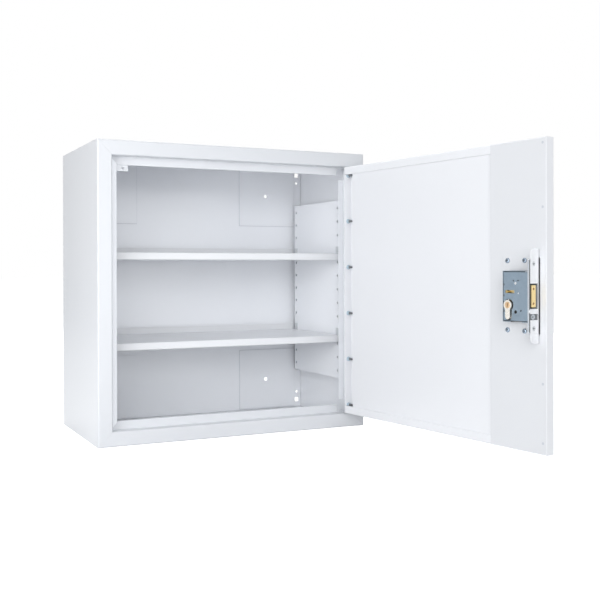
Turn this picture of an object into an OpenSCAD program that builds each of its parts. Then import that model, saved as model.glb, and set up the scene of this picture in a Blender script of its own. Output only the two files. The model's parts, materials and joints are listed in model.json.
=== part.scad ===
// Lockable medicine cabinet: a folded steel casing with an inset door, a full-height
// piano hinge, perforated shelf supports and a euro-profile deadlock bolted inside the door.
// Millimetres. +Z is up and -Y is the front. The origin is the centre of the casing's underside.

/* [Casing] */
// Width of the casing over its sides
cabinet_w = 600; // [520:10:900]
// Height of the casing
cabinet_h = 600; // [560:10:900]
// Depth of the casing, front face to back
cabinet_d = 300; // [260:10:400]
// Thickness of the folded casing sheet
casing_t = 2; // [1.5:0.1:3]
// Reach of the rear flanges that the back panel is welded to
rear_flange = 8; // [6:0.5:8.5]
// Thickness of the back panel
back_t = 2; // [1.5:0.1:3]
// Inside radius of the folds in all sheets
fold_r = 1; // [0.5:0.1:1.5]

/* [Front frame] */
// Width of the frame face round the door
face_w = 30; // [26:1:40]
// Reach of the stop on the lock side
side_stop = 14; // [10:1:16]
// Reach of the stops at the top and bottom
end_stop = 17; // [12:1:22]
// Running gap between the shut door and the stops
stop_gap = 0.5; // [0.3:0.1:1.5]
// Depth of the return on the hinge side
hinge_return = 50; // [44:1:52]
// Setback of the hinge-side stop from the front face
hinge_stop_set = 37; // [30:1:40]
// Reach of the hinge-side stop
hinge_stop_reach = 12.5; // [8:0.5:16]
// Space left between the hinge-side stop and the end stops
hinge_stop_gap = 9; // [4:1:20]
// Length cut off the end stops beside the hinge
stop_notch = 27; // [20:1:40]
// Thickness of small folded brackets
bracket_t = 1.5; // [1:0.1:2.5]
// Reach of the drilled corner tab beyond the side stop
tab_reach = 22; // [14:1:30]
// Reach of the drilled corner tab below the top stop
tab_drop = 12; // [9:0.5:16]
// Radius of the hole in the corner tab
tab_hole_r = 2; // [1.5:0.25:3]

/* [Wall fixing] */
// Fixing hole centre from the casing's side
fixing_side = 100; // [80:5:120]
// Fixing hole centre from the casing's top or bottom
fixing_end = 75; // [60:5:100]
// Radius of a wall fixing hole
fixing_r = 4.5; // [3:0.25:6]
// Thickness of a reinforcing plate behind a fixing hole
plate_t = 2; // [1:0.5:4]
// Inner edge of a reinforcing plate from the casing's side
plate_side = 170; // [140:5:200]
// Inner edge of a reinforcing plate from the casing's top or bottom
plate_end = 148; // [120:2:180]
// Space left round a reinforcing plate
plate_clear = 3; // [1:0.5:5]
// Side of the square relief hole in each rear corner
relief_w = 10; // [6:1:12]
// Relief hole centre from the casing's side
relief_side = 14; // [14:0.5:16]
// Square relief hole centre from the casing's top or bottom
relief_end = 19.5; // [16:0.5:26]
// Radius of the round hole next to the relief hole
relief_dot_r = 3; // [2:0.5:4]

/* [Shelves] */
// Offset of a liner's inner face from the casing's outer side
liner_offset = 26; // [20:1:32]
// Thickness of a liner, a shelf and a clip
shelf_sheet = 1.2; // [1:0.1:2]
// Front edge of a liner from the front face
liner_front = 53; // [53:1:58]
// Rear edge of a liner from the back of the casing
liner_rear_gap = 16; // [12:1:30]
// Rows of support holes in each liner
hole_rows = 13; // [9:1:15]
// Pitch of the rows
hole_pitch = 30.8; // [25:0.1:32]
// Radius of a support hole
hole_r = 3; // [2:0.25:4]
// Sheet left above the top row and below the bottom row
liner_margin = 17; // [10:1:30]
// Front holes' distance from the liner's front edge
hole_front = 17; // [14:1:20]
// Rear holes' distance from the liner's rear edge
hole_rear = 11; // [11:1:20]
// Row that carries the upper shelf, counted from the top
upper_row = 4; // [3:1:5]
// Row that carries the lower shelf, counted from the top
lower_row = 10; // [8:1:11]
// Height of a shelf's folded front lip
shelf_lip = 15.5; // [10:0.5:25]
// Depth of the hem under a shelf's front lip
shelf_hem = 8; // [5:0.5:12]
// Height of a shelf's rear upstand
shelf_upstand = 14.5; // [8:0.5:25]
// Drop of a shelf's deck below the row of holes that carries it
shelf_drop = 11; // [8:0.5:14]
// Gap between a shelf's end and its clips
shelf_gap = 0.8; // [0.3:0.1:3]
// Front of a shelf from the front face
shelf_front = 57.5; // [54:0.5:57.5]
// Back of a shelf from the back of the casing
shelf_rear_gap = 11; // [9:0.5:30]
// Width of a shelf clip
clip_w = 14; // [8:1:18]
// Reach of a clip's ledge under the shelf
clip_ledge = 11; // [6:1:20]
// Length of a clip's peg behind the liner
clip_peg = 4; // [2:0.5:8]

/* [Door] */
// Thickness of the door
door_t = 20; // [18:0.5:24]
// Gap between the door and the frame, lock side and ends
door_gap = 2; // [1.5:0.25:4]
// Thickness of the door's outer skin
skin_t = 2; // [1:0.1:2]
// Width of the hemmed lips along the top and bottom
lip_w = 17; // [12:1:25]
// Thickness of the hemmed lips
lip_t = 3; // [2.5:0.1:4]
// Width of the lock-side stile
stile_w = 122; // [100:1:160]
// Thickness of the stile plate
stile_t = 2; // [1:0.1:2.5]
// Thickness of the inner door liner
door_liner_t = 1.2; // [0.8:0.1:2]
// Width of the open channel over the hinge nuts
nut_channel = 23; // [20:1:30]
// Width of the stiffener between the skin and the liner
stiffener_w = 40; // [30:2:60]
// Width of the stiffener's welding flanges
stiffener_flange = 12; // [8:1:16]
// Opening angle of the door as modelled
rest_open = 98.5; // [60:0.5:110]

/* [Hinge] */
// Radius of the hinge pin
pin_r = 1.5; // [1:0.1:2]
// Wall of a hinge knuckle round its bore
knuckle_wall = 1.45; // [1:0.05:2.5]
// Radial running clearance round the hinge pin
pin_clearance = 0.05; // [0.03:0.01:0.1]
// Thickness of a hinge leaf
leaf_t = 1.4; // [1:0.1:1.8]
// Width of a hinge leaf
leaf_w = 19; // [17:0.5:19.5]
// Gap between the two leaves when the door is shut
leaf_gap = 0.4; // [0.3:0.1:1]
// Number of knuckles along the hinge
knuckles = 21; // [11:2:31]
// Axial gap between two knuckles
knuckle_gap = 0.4; // [0.3:0.1:1]
// Number of hinge studs
studs = 6; // [4:1:8]
// Distance of the end studs from the hinge's ends
stud_end = 16; // [12:1:60]
// Space left between the hinge and the door's top and bottom
hinge_end = 2; // [1:0.5:6]
// Radius of a hinge stud
stud_r = 2.5; // [2:0.25:3]
// Length of a hinge stud inside the door
stud_length = 13; // [9:0.5:18]

/* [Lock] */
// Centre of the bolt above the casing's underside
lock_z = 300; // [240:5:360]
// Gap between the lock plate and the stop that the bolt passes behind
lock_clear = 2.8; // [2.4:0.1:6]
// Thickness of the mounting bracket
lock_bracket_t = 2; // [1.5:0.1:3]
// Height of the mounting bracket
lock_bracket_h = 160; // [140:2:200]
// Width of the bracket's foot on the door
lock_foot_w = 77; // [72:1:90]
// Height of the bracket's upstand off the door
lock_upstand = 21; // [20:0.5:24]
// Half the distance between the foot's upper and lower screws
foot_screw_z = 60.5; // [50:0.5:70]
// Setback of the foot's nearer screws from the upstand
foot_screw_set = 29; // [20:1:30]
// Distance between the foot's two columns of screws
foot_screw_pitch = 37; // [34:1:40]
// Thickness of the lock's forend
forend_t = 3; // [2:0.25:4]
// Width of the forend
forend_w = 20; // [18:0.5:20]
// Height of the forend
forend_h = 127; // [116:1:136]
// Half the distance between the forend's two fixing screws
forend_screw_z = 54.5; // [52:0.5:56]
// Depth of the lock case behind the forend
case_depth = 60; // [59:0.5:62]
// Height of the lock case
case_h = 88; // [84:1:96]
// Centre of the bolt above the bottom of the case
case_below = 45; // [44:0.5:50]
// Thickness of the lock case over its two plates
case_w = 14; // [13:0.5:15]
// Thickness of the case's plates
case_t = 1.2; // [0.8:0.1:1.5]
// Gap between the case's cover and the walls round it
cover_gap = 1.3; // [0.8:0.1:1.8]
// Centre of the case off the door's inner face
lock_off = 14; // [14:0.5:15]
// Backset: cylinder centre from the forend's outer face
backset = 46; // [45.5:0.5:47]
// Drop of the cylinder's centre below the bolt's centre
cylinder_drop = 16; // [15.5:0.25:17]
// Height of the bolt
bolt_h = 37; // [34:0.5:38]
// Travel of the bolt
bolt_throw = 12; // [9:0.5:12.5]
// Gap between the sliding bolt and the case's plates
bolt_gap = 0.6; // [0.3:0.05:0.8]
// Gap round the bolt in the forend's mouth
mouth_gap = 1.8; // [0.5:0.1:2.5]
// Width of the relief slot in the stile beside the upstand
relief_slot_w = 6.5; // [5:0.5:9]
// Length of the relief slot
relief_slot_h = 130; // [110:2:150]
// Play between the thrown bolt and its keep
keep_play = 0.5; // [0.3:0.1:2]
// Height of the keep behind the stop
keep_h = 120; // [60:5:200]
// Radius of the cylinder's round body
euro_r = 8.5; // [8.5:0.1:8.8]
// Height of the cylinder's profile
euro_h = 33; // [32:0.25:33.5]
// Radius of the turning plug
plug_r = 5.6; // [5.2:0.1:7]
// Radial running clearance round the plug
plug_clearance = 0.06; // [0.03:0.01:0.1]
// Radius of the cam's tip
cam_reach = 15; // [14.6:0.1:15.2]
// Width of the cam's finger
cam_w = 5; // [4:0.25:5.5]
// Projection of the cylinder beyond the door's outer skin
cylinder_proud = 4; // [3:0.5:6]
// Thickness of the outside escutcheon
escutcheon_t = 3; // [2:0.5:4]

/* [Hidden] */

$fn = 48;
// Overlap that a cut reaches past the face it opens
cut = 1;
// Running gap between pieces of the lock that slide or turn on each other's faces
face_gap = 0.3;

// Casing planes
front_y = -cabinet_d / 2;
opening_x = cabinet_w / 2 - face_w;
recess = door_t + stop_gap;
mid_z = cabinet_h / 2;
tab_top = cabinet_h - face_w - end_stop;
back_inset = casing_t + fold_r;

// Hinge axis, just in front of the frame face, between the two leaves
knuckle_r = pin_r + pin_clearance + knuckle_wall;
hinge_x = opening_x - leaf_t - leaf_gap / 2;
hinge_y = front_y - knuckle_r - face_gap;
hinge_len = door_h() - 2 * hinge_end;
knuckle_pitch = hinge_len / knuckles;

// Door, in its own coordinates: X from the hinge edge to the free edge, Y from the skin inwards
door_edge_x = opening_x - 2 * leaf_t - leaf_gap;
door_w = door_edge_x + opening_x - door_gap;
door_z = face_w + door_gap;
stile_x = door_w - stile_w;
liner_y = door_t - lip_t;
stud_y = (door_t + skin_t) / 2;

// Shelf supports
liner_rear = cabinet_d - liner_rear_gap;
shelf_back = cabinet_d - shelf_rear_gap;
hole_ys = [liner_front + hole_front, liner_rear - hole_rear];
liner_x = cabinet_w / 2 - liner_offset;
liner_h = (hole_rows - 1) * hole_pitch + 2 * liner_margin;
shelf_half = liner_x - shelf_sheet - shelf_gap;
peg_r = hole_r - 0.2;

// Lock, in the door's coordinates
plate_x = door_edge_x + opening_x - side_stop - lock_clear;
forend_x = plate_x - lock_bracket_t;
lock_y = door_t + lock_off;
case_x = forend_x - case_depth;
case_z = lock_z - case_below;
case_y = lock_y - case_w / 2;
cylinder_x = forend_x - backset;
cylinder_z = lock_z - cylinder_drop;
cylinder_end = lock_y + case_w / 2 + 3;
bolt_y = case_y + case_t + bolt_gap;
bolt_t = case_w - 2 * case_t - 2 * bolt_gap;
bolt_face = plate_x - 0.5;
bolt_head = 35.5;
cam_half = asin(bolt_throw / 2 / cam_reach);
cam_slot = 10;
cam_play = 0.4;
leg_r = 5;
screw_drop = euro_h - euro_r - 5.5;
screw_r = 2.4;
tail_t = 6;
tail_z = cylinder_z + 11;
tail_h = 18;
guide_x = cylinder_x - bolt_throw / 2 + 2.5;
guide_z = lock_z + 7;
guide_r = 2.3;
slot_play = 1.5;
bolt_pin_z = 12.5;
foot_screw_near = plate_x - foot_screw_set;
foot_screw_far = foot_screw_near - foot_screw_pitch;
foot_screws = [
    [foot_screw_far, lock_z + foot_screw_z], [foot_screw_near, lock_z + foot_screw_z],
    [foot_screw_far, lock_z - foot_screw_z], [foot_screw_near, lock_z - foot_screw_z]];
pillar = [case_x + 29, lock_z + bolt_h / 2 + 3];
pillar_r = 1.8;
cover_stud = [case_x + 35, lock_z + 4.5];
cover_stud_r = 1.2;
// The cover, set in from the tray's rear wall by a wider gap than from its other walls
cover_x = case_x + case_t + 1.8;
cover_z = case_z + case_t + cover_gap;
cover_h = case_h - 2 * (case_t + cover_gap);
// Holes of the cover, each as its place from the case's lower rear corner and its radius
cover_holes = [[24.5, case_h - 17, 1.3], [34.5, case_h - 17, 1.3], [29, 17.5, 3], [40.5, 20, 1.6]];
// Heights of the half-round notches in the cover's rear edge
cover_notches = [18.5, 45, case_h - 24];
notch_r = 2;
forend_r = 5;

function door_h() = cabinet_h - 2 * (face_w + door_gap);
function row_z(row) = mid_z + ((hole_rows + 1) / 2 - row) * hole_pitch;
function stud_z(i) = mid_z + (i / (studs - 1) - 0.5) * (hinge_len - 2 * stud_end);

paint = [0.93, 0.94, 0.95];
inner_paint = [0.88, 0.90, 0.92];
zinc = [0.57, 0.63, 0.69];
bright = [0.80, 0.81, 0.82];
brass = [0.85, 0.70, 0.38];

// ---------------------------------------------------------------- helpers

// Puts door coordinates into the casing's frame, with the door swung to its rest angle
module on_door() {
    translate([hinge_x, hinge_y, 0])
        rotate([0, 0, rest_open])
            translate([door_edge_x - hinge_x, front_y - hinge_y, 0])
                mirror([1, 0, 0])
                    children();
}

// A flat shape in the door's X and Z, given a thickness along Y
module along_y(y, thickness) {
    translate([0, y + thickness, 0])
        rotate([90, 0, 0])
            linear_extrude(thickness)
                children();
}

// A flat shape in Y and Z, given a thickness along X
module along_x(x, thickness) {
    translate([x, 0, 0])
        rotate([90, 0, 90])
            linear_extrude(thickness)
                children();
}

// Round bar or hole along Y, from a given point
module rod_y(x, y, z, r, length) {
    translate([x, y, z])
        rotate([-90, 0, 0])
            cylinder(r = r, h = length);
}

// Round bar or hole along X, from a given point
module rod_x(x, y, z, r, length) {
    translate([x, y, z])
        rotate([0, 90, 0])
            cylinder(r = r, h = length);
}

// Countersunk head or its seat along X, its wide end at x and tapering back by depth
module countersink_x(x, y, z, wide, narrow, depth) {
    translate([x - depth, y, z])
        rotate([0, 90, 0])
            cylinder(r1 = narrow, r2 = wide, h = depth);
}

// Mirrored copies of a left-hand piece on the right
module both_sides() {
    children();
    mirror([1, 0, 0]) children();
}

// Quarter ring where sheet of the given thickness is folded. Its outer corner would be at
// (x, y), and the two sheets run from there in the directions dx and dy, each 1 or -1.
module fold(x, y, dx, dy, thickness) {
    r = fold_r + thickness;
    translate([x, y])
        mirror([dx < 0 ? 1 : 0, 0, 0])
            mirror([0, dy < 0 ? 1 : 0, 0])
                intersection() {
                    translate([r, r])
                        difference() {
                            circle(r = r);
                            circle(r = fold_r);
                        }
                    square(r);
                }
}

// Angle of folded sheet: its outer corner at (x, y), one leg along dx and one along dy
module folded_angle(x, y, dx, dy, leg_x, leg_y, thickness) {
    r = fold_r + thickness;
    fold(x, y, dx, dy, thickness);
    translate([x, y])
        mirror([dx < 0 ? 1 : 0, 0, 0])
            mirror([0, dy < 0 ? 1 : 0, 0]) {
                translate([r, 0]) square([leg_x - r, thickness]);
                translate([0, r]) square([thickness, leg_y - r]);
            }
}

// Rectangle with its lower corners rounded, and its upper ones too if asked
module soft_corners(width, depth, r, upper) {
    translate([r, 0]) square([width - 2 * r, depth]);
    translate([0, r]) square([width, depth - (upper ? 2 : 1) * r]);
    for (x = [r, width - r], y = upper ? [r, depth - r] : [r]) translate([x, y]) circle(r = r);
}

// ---------------------------------------------------------------- casing

// Section of a casing panel: wall, rear flange, frame face, return and stop.
// X runs inwards from the outer wall and Y backwards from the front face.
module casing_section(return_depth, stop_reach) {
    half_w = face_w / 2;
    half_d = cabinet_d / 2;
    half_return = return_depth / 2;
    stop_y = return_depth + casing_t;
    folded_angle(0, 0, 1, 1, half_w, half_d, casing_t);
    folded_angle(0, cabinet_d, 1, -1, rear_flange, half_d, casing_t);
    folded_angle(face_w, 0, -1, 1, half_w, stop_reach > 0 ? half_return : stop_y, casing_t);
    if (stop_reach > 0)
        folded_angle(face_w - casing_t, stop_y, 1, -1,
            casing_t + stop_reach, stop_y - half_return, casing_t);
}

// A panel of the given length along Z, its two ends mitred at 45 degrees
module casing_panel(length, return_depth, stop_reach) {
    inward = face_w + stop_reach + cut;
    intersection() {
        linear_extrude(length) casing_section(return_depth, stop_reach);
        along_y(-cut, cabinet_d + 2 * cut)
            polygon([[0, 0], [inward, inward], [inward, length - inward], [0, length]]);
    }
}

// The bottom panel, its stop cut short beside the hinge; the top panel is its mirror image
module end_panel() {
    difference() {
        translate([cabinet_w / 2, front_y, 0])
            rotate([0, -90, 0])
                casing_panel(cabinet_w, recess, end_stop);
        translate([opening_x - stop_notch, front_y + recess - fold_r - cut, face_w])
            cube([stop_notch + face_w, casing_t + fold_r + 2 * cut, end_stop + cut]);
    }
}

module left_side() color(paint)
    translate([-cabinet_w / 2, front_y, 0])
        casing_panel(cabinet_h, recess, side_stop);

module right_side() color(paint)
    translate([cabinet_w / 2, front_y, 0])
        mirror([1, 0, 0])
            casing_panel(cabinet_h, hinge_return - casing_t, 0);

module base_panel() color(paint) end_panel();

module top_panel() color(paint)
    translate([0, 0, cabinet_h])
        mirror([0, 0, 1])
            end_panel();

// The four corners of a rectangle set in from the casing's outline
module rear_corners(side, end) {
    for (x = [side - cabinet_w / 2, cabinet_w / 2 - side], z = [end, cabinet_h - end])
        translate([x, z]) children();
}

module back_panel() color(inner_paint)
    along_y(front_y + cabinet_d - casing_t - back_t, back_t)
        difference() {
            translate([back_inset - cabinet_w / 2, back_inset])
                square([cabinet_w - 2 * back_inset, cabinet_h - 2 * back_inset]);
            rear_corners(fixing_side, fixing_end) circle(r = fixing_r);
            rear_corners(relief_side, relief_end) square(relief_w, center = true);
            rear_corners(relief_side, 2 * relief_end) circle(r = relief_dot_r);
        }

// Reinforcing plate in the lower left rear corner; the others are its mirror images
module wall_plate() {
    plate_x0 = relief_side + relief_w / 2 + plate_clear;
    plate_z0 = casing_t + plate_clear;
    along_y(front_y + cabinet_d - casing_t - back_t - plate_t, plate_t)
        difference() {
            translate([plate_x0 - cabinet_w / 2, plate_z0])
                square([plate_side - plate_x0, plate_end - plate_z0]);
            translate([fixing_side - cabinet_w / 2, fixing_end]) circle(r = fixing_r);
        }
}

module at_top() {
    translate([0, 0, cabinet_h]) mirror([0, 0, 1]) children();
}

module wall_plate_bottom_left() color(inner_paint) wall_plate();
module wall_plate_bottom_right() color(inner_paint) mirror([1, 0, 0]) wall_plate();
module wall_plate_top_left() color(inner_paint) at_top() wall_plate();
module wall_plate_top_right() color(inner_paint) at_top() mirror([1, 0, 0]) wall_plate();

// Small drilled tab behind the upper left corner of the stop
module corner_tab() color(paint)
    along_y(front_y + recess + casing_t, bracket_t)
        difference() {
            translate([-opening_x + casing_t, tab_top - tab_drop])
                square([side_stop - casing_t + tab_reach + 2, tab_drop + end_stop - 4]);
            translate([-opening_x + side_stop + tab_reach / 2 + 2, tab_top - tab_drop / 2])
                circle(r = tab_hole_r);
        }

// Angle on the hinge-side return: one leg faces forward as the stop, the other is welded on
module hinge_stop() color(paint) {
    low = face_w + end_stop + hinge_stop_gap;
    height = cabinet_h - 2 * low;
    translate([0, front_y, low])
        linear_extrude(height)
            folded_angle(opening_x, hinge_stop_set, -1, 1,
                hinge_stop_reach, hinge_return - hinge_stop_set, bracket_t);
}

// Steel bar behind the lock-side stop, which the thrown bolt bears on
module bolt_keep() color(zinc)
    translate([-opening_x, front_y + recess + casing_t, lock_z - keep_h / 2])
        cube([side_stop - 1, bolt_y - recess - casing_t - keep_play, keep_h]);

// ---------------------------------------------------------------- liners and shelves

// Perforated channel that stands off the casing's left side
module side_liner() {
    depth = liner_rear - liner_front;
    width = cabinet_w / 2 - casing_t - liner_x;
    difference() {
        translate([-liner_x - width, front_y + liner_front, mid_z - liner_h / 2])
            linear_extrude(liner_h) {
                folded_angle(width, 0, -1, 1, width, depth / 2, shelf_sheet);
                folded_angle(width, depth, -1, -1, width, depth / 2, shelf_sheet);
            }
        for (row = [1 : hole_rows], y = hole_ys)
            rod_x(-liner_x - 2 * shelf_sheet, front_y + y, row_z(row), hole_r, 3 * shelf_sheet);
    }
}

module left_liner() color(inner_paint) side_liner();
module right_liner() color(inner_paint) mirror([1, 0, 0]) side_liner();

// Folded tray: deck, hemmed front lip, rear upstand and side flanges between its clips
module shelf(row) {
    deck_z = row_z(row) - shelf_drop;
    length = shelf_back - shelf_front;
    flange_y = hole_ys[0] - shelf_front + clip_w / 2 + 2;
    flange_end = hole_ys[1] - shelf_front - clip_w / 2 - 2;
    flange_h = shelf_drop + 1;
    translate([0, front_y + shelf_front, deck_z]) {
        difference() {
            along_x(-shelf_half, 2 * shelf_half) {
                folded_angle(0, 0, 1, -1, length / 2, shelf_lip / 2, shelf_sheet);
                folded_angle(0, -shelf_lip, 1, 1, shelf_hem, shelf_lip / 2, shelf_sheet);
                folded_angle(length, -shelf_sheet, -1, 1, length / 2,
                    shelf_upstand + shelf_sheet, shelf_sheet);
            }
            // The hem stops short of the clips' ledges, so that the shelf lifts straight off
            both_sides()
                translate([shelf_half - clip_ledge - shelf_gap, shelf_sheet, -shelf_lip - cut])
                    cube([clip_ledge + shelf_gap + cut, shelf_hem, fold_r + shelf_sheet + cut]);
        }
        both_sides()
            translate([0, flange_y, 0])
                rotate([90, 0, 0])
                    translate([0, 0, flange_y - flange_end])
                        linear_extrude(flange_end - flange_y)
                            folded_angle(-shelf_half, 0, 1, -1, 3 * shelf_sheet, flange_h, shelf_sheet);
    }
}

module upper_shelf() color(paint) shelf(upper_row);
module lower_shelf() color(paint) shelf(lower_row);

// Clip for a left-hand hole: plate on the liner, peg in the hole, ledge under the shelf
module shelf_clip(y, row) {
    hole_z = row_z(row);
    ledge_z = hole_z - shelf_drop - 2 * shelf_sheet;
    plate_top = hole_z + peg_r + 2;
    translate([-liner_x, y - clip_w / 2, ledge_z]) {
        cube([shelf_sheet, clip_w, plate_top - ledge_z]);
        cube([clip_ledge, clip_w, shelf_sheet]);
    }
    rod_x(-liner_x - clip_peg, y, hole_z, peg_r, clip_peg + shelf_sheet / 2);
}

module shelf_clips(row) {
    for (y = hole_ys)
        both_sides() shelf_clip(front_y + y, row);
}

module upper_shelf_clips() color(zinc) shelf_clips(upper_row);
module lower_shelf_clips() color(zinc) shelf_clips(lower_row);

// ---------------------------------------------------------------- piano hinge

// One leaf with every second knuckle, drawn about the hinge axis with the door shut.
// side is 1 for the leaf on the frame and -1 for the leaf on the door.
module hinge_leaf(side) {
    leaf_x = side > 0 ? leaf_gap / 2 : -leaf_gap / 2 - leaf_t;
    first = side > 0 ? 0 : 1;
    clear_y = knuckle_r + face_gap;
    difference() {
        union() {
            translate([leaf_x, clear_y, 0]) cube([leaf_t, leaf_w, hinge_len]);
            for (i = [first : 2 : knuckles - 1])
                translate([0, 0, i * knuckle_pitch + knuckle_gap / 2]) {
                    cylinder(r = knuckle_r, h = knuckle_pitch - knuckle_gap);
                    translate([leaf_x, 0, 0])
                        cube([leaf_t, clear_y + cut / 2, knuckle_pitch - knuckle_gap]);
                }
        }
        translate([0, 0, -cut]) cylinder(r = pin_r + pin_clearance, h = hinge_len + 2 * cut);
    }
}

module on_hinge() {
    translate([hinge_x, hinge_y, door_z + 2]) children();
}

module hinge_frame_leaf() color(bright) on_hinge() hinge_leaf(1);

module hinge_pin() color(bright)
    on_hinge() {
        cylinder(r = pin_r, h = hinge_len);
        translate([0, 0, hinge_len]) cylinder(r = knuckle_r - 0.2, h = 1);
        translate([0, 0, -1]) cylinder(r = knuckle_r - 0.2, h = 1);
    }

module hinge_door_leaf() color(bright)
    difference() {
        on_hinge() rotate([0, 0, rest_open]) hinge_leaf(-1);
        on_door() stud_holes(stud_r);
    }

// Through holes for the studs, in the door's coordinates
module stud_holes(r) {
    for (i = [0 : studs - 1])
        rod_x(-leaf_t - cut, stud_y, stud_z(i), r, leaf_t + skin_t + 2 * cut);
}

module hinge_studs() color(bright)
    on_door()
        for (i = [0 : studs - 1])
            rod_x(-leaf_t, stud_y, stud_z(i), stud_r - 0.05, leaf_t + skin_t + stud_length);

module hinge_washers() color(bright)
    on_door()
        for (i = [0 : studs - 1])
            difference() {
                rod_x(skin_t, stud_y, stud_z(i), 2 * stud_r, 1);
                rod_x(skin_t - cut, stud_y, stud_z(i), stud_r + 0.15, 1 + 2 * cut);
            }

module hinge_nuts() color(bright)
    on_door()
        for (i = [0 : studs - 1])
            difference() {
                translate([skin_t + 1, stud_y, stud_z(i)])
                    rotate([0, 90, 0])
                        cylinder(r = 1.85 * stud_r, h = 1.6 * stud_r, $fn = 6);
                rod_x(skin_t, stud_y, stud_z(i), stud_r + 0.05, 1.6 * stud_r + 2 * cut);
            }

// ---------------------------------------------------------------- door

// Block of the door's outline moved in by the given offset, open at the back. Its front edges
// are rounded by the folds; where there is no offset, so are the folds onto the lips.
module pan(inset, r) {
    width = door_w - 2 * inset;
    height = door_h() - 2 * inset;
    depth = door_t - inset;
    translate([inset, inset, inset]) intersection() {
        linear_extrude(height) soft_corners(width, inset > 0 ? door_t : depth, r, false);
        translate([width, 0, 0])
            rotate([0, -90, 0])
                linear_extrude(width) soft_corners(height, inset > 0 ? door_t : depth, r, inset == 0);
    }
}

// Folded tray with a hemmed lip along its top and bottom
module door_skin() color(paint)
    on_door()
        difference() {
            translate([0, 0, door_z]) intersection() {
                union() {
                    difference() {
                        pan(0, fold_r + skin_t);
                        pan(skin_t, fold_r);
                    }
                    for (z = [0, door_h() - lip_w])
                        translate([0, liner_y, z]) cube([stile_x, lip_t, lip_w]);
                }
                pan(0, fold_r + skin_t);
            }
            stud_holes(stud_r + 0.25);
            cylinder_cut(-cut, skin_t + 2 * cut, 0.5);
        }

// Flat inner panel under the lips, folded down to the skin beside the hinge nuts
module door_liner() color(paint)
    on_door() {
        low = door_z + skin_t;
        height = door_h() - 2 * skin_t;
        translate([nut_channel, liner_y - door_liner_t, low])
            cube([stile_x + 18 - nut_channel, door_liner_t, height]);
        translate([nut_channel, skin_t, low + fold_r])
            cube([door_liner_t, liner_y - skin_t, height - 2 * fold_r]);
    }

// Hat section between the skin and the liner
module door_stiffener() color(inner_paint)
    on_door() {
        x = (nut_channel + stile_x) / 2;
        depth = liner_y - door_liner_t - skin_t;
        half = stiffener_w / 2;
        inset = skin_t + fold_r;
        translate([x, skin_t, door_z + inset])
            linear_extrude(door_h() - 2 * inset)
                both_sides() {
                    folded_angle(half, depth, -1, -1, half, depth / 2, door_liner_t);
                    folded_angle(half - door_liner_t, 0, 1, 1, stiffener_flange, depth / 2, door_liner_t);
                }
    }

// Flush plate over the lock side, stepped down to the liner at its edge
module lock_stile() color(paint)
    on_door()
        difference() {
            translate([stile_x, 0, door_z + skin_t])
                linear_extrude(door_h() - 2 * skin_t) {
                    translate([0, door_t - stile_t]) square([stile_w - skin_t, stile_t]);
                    translate([0, liner_y]) square([stile_t, lip_t]);
                }
            cylinder_cut(door_t - stile_t - cut, stile_t + 2 * cut, 0.6);
            for (p = foot_screws)
                rod_y(p[0], door_t - stile_t - cut, p[1], screw_r + 0.1, stile_t + 2 * cut);
            translate([forend_x - forend_t, door_t - stile_t - cut, lock_z - relief_slot_h / 2])
                cube([relief_slot_w, stile_t + 2 * cut, relief_slot_h]);
        }

// ---------------------------------------------------------------- lock

// Euro profile about the plug's centre: a circle with a round-ended leg below it
module euro_profile(extra) {
    leg_z = -(euro_h - euro_r - leg_r);
    circle(r = euro_r + extra);
    translate([0, leg_z]) circle(r = leg_r + extra);
    translate([-leg_r - extra, leg_z]) square([2 * (leg_r + extra), -leg_z]);
}

// The euro profile cut through a piece of the door
module cylinder_cut(y, length, extra) {
    along_y(y, length) translate([cylinder_x, cylinder_z]) euro_profile(extra);
}

// Plate in Y and Z with its two free corners rounded
module round_cornered(width, height, r) {
    square([width - r, height]);
    translate([0, r]) square([width, height - 2 * r]);
    for (z = [r, height - r]) translate([width - r, z]) circle(r = r);
}

// Angle with a foot on the door and a round-cornered upstand that carries the forend. The
// upstand is cut away at the bolt and at the cylinder's screw, with a round tongue between them.
module lock_bracket() color(paint)
    on_door() {
        low = lock_z - lock_bracket_h / 2;
        screw_z = cylinder_z - screw_drop;
        r = fold_r + lock_bracket_t;
        window_y = door_t + r + 0.2;
        window_h = bolt_h + 6;
        screw_window_h = 10.4;
        tongue_low = screw_z + screw_window_h / 2;
        tongue_r = (lock_z - window_h / 2 - tongue_low) / 2;
        difference() {
            translate([0, 0, low])
                linear_extrude(lock_bracket_h)
                    folded_angle(plate_x, door_t, -1, 1, lock_foot_w, r, lock_bracket_t);
            cylinder_cut(door_t - cut, lock_bracket_t + 2 * cut, 0.6);
            for (p = foot_screws)
                rod_y(p[0], door_t - cut, p[1], screw_r + 0.2, lock_bracket_t + 2 * cut);
        }
        difference() {
            along_x(forend_x, lock_bracket_t) {
                translate([door_t + r, low]) round_cornered(lock_upstand - r, lock_bracket_h, 9);
                translate([lock_y + forend_w / 2 - tongue_r, tongue_low + tongue_r])
                    circle(r = tongue_r);
            }
            along_x(forend_x - cut, lock_bracket_t + 2 * cut) {
                translate([window_y, lock_z - window_h / 2]) square([lock_upstand, window_h]);
                translate([window_y, screw_z - screw_window_h / 2])
                    square([lock_upstand, screw_window_h]);
            }
            for (z = [-forend_screw_z, forend_screw_z]) {
                rod_x(forend_x - cut, lock_y, lock_z + z, screw_r + 0.2, lock_bracket_t + 2 * cut);
                countersink_x(plate_x + 0.1, lock_y, lock_z + z, 4.7, 2.7, 2);
            }
        }
    }

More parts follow.
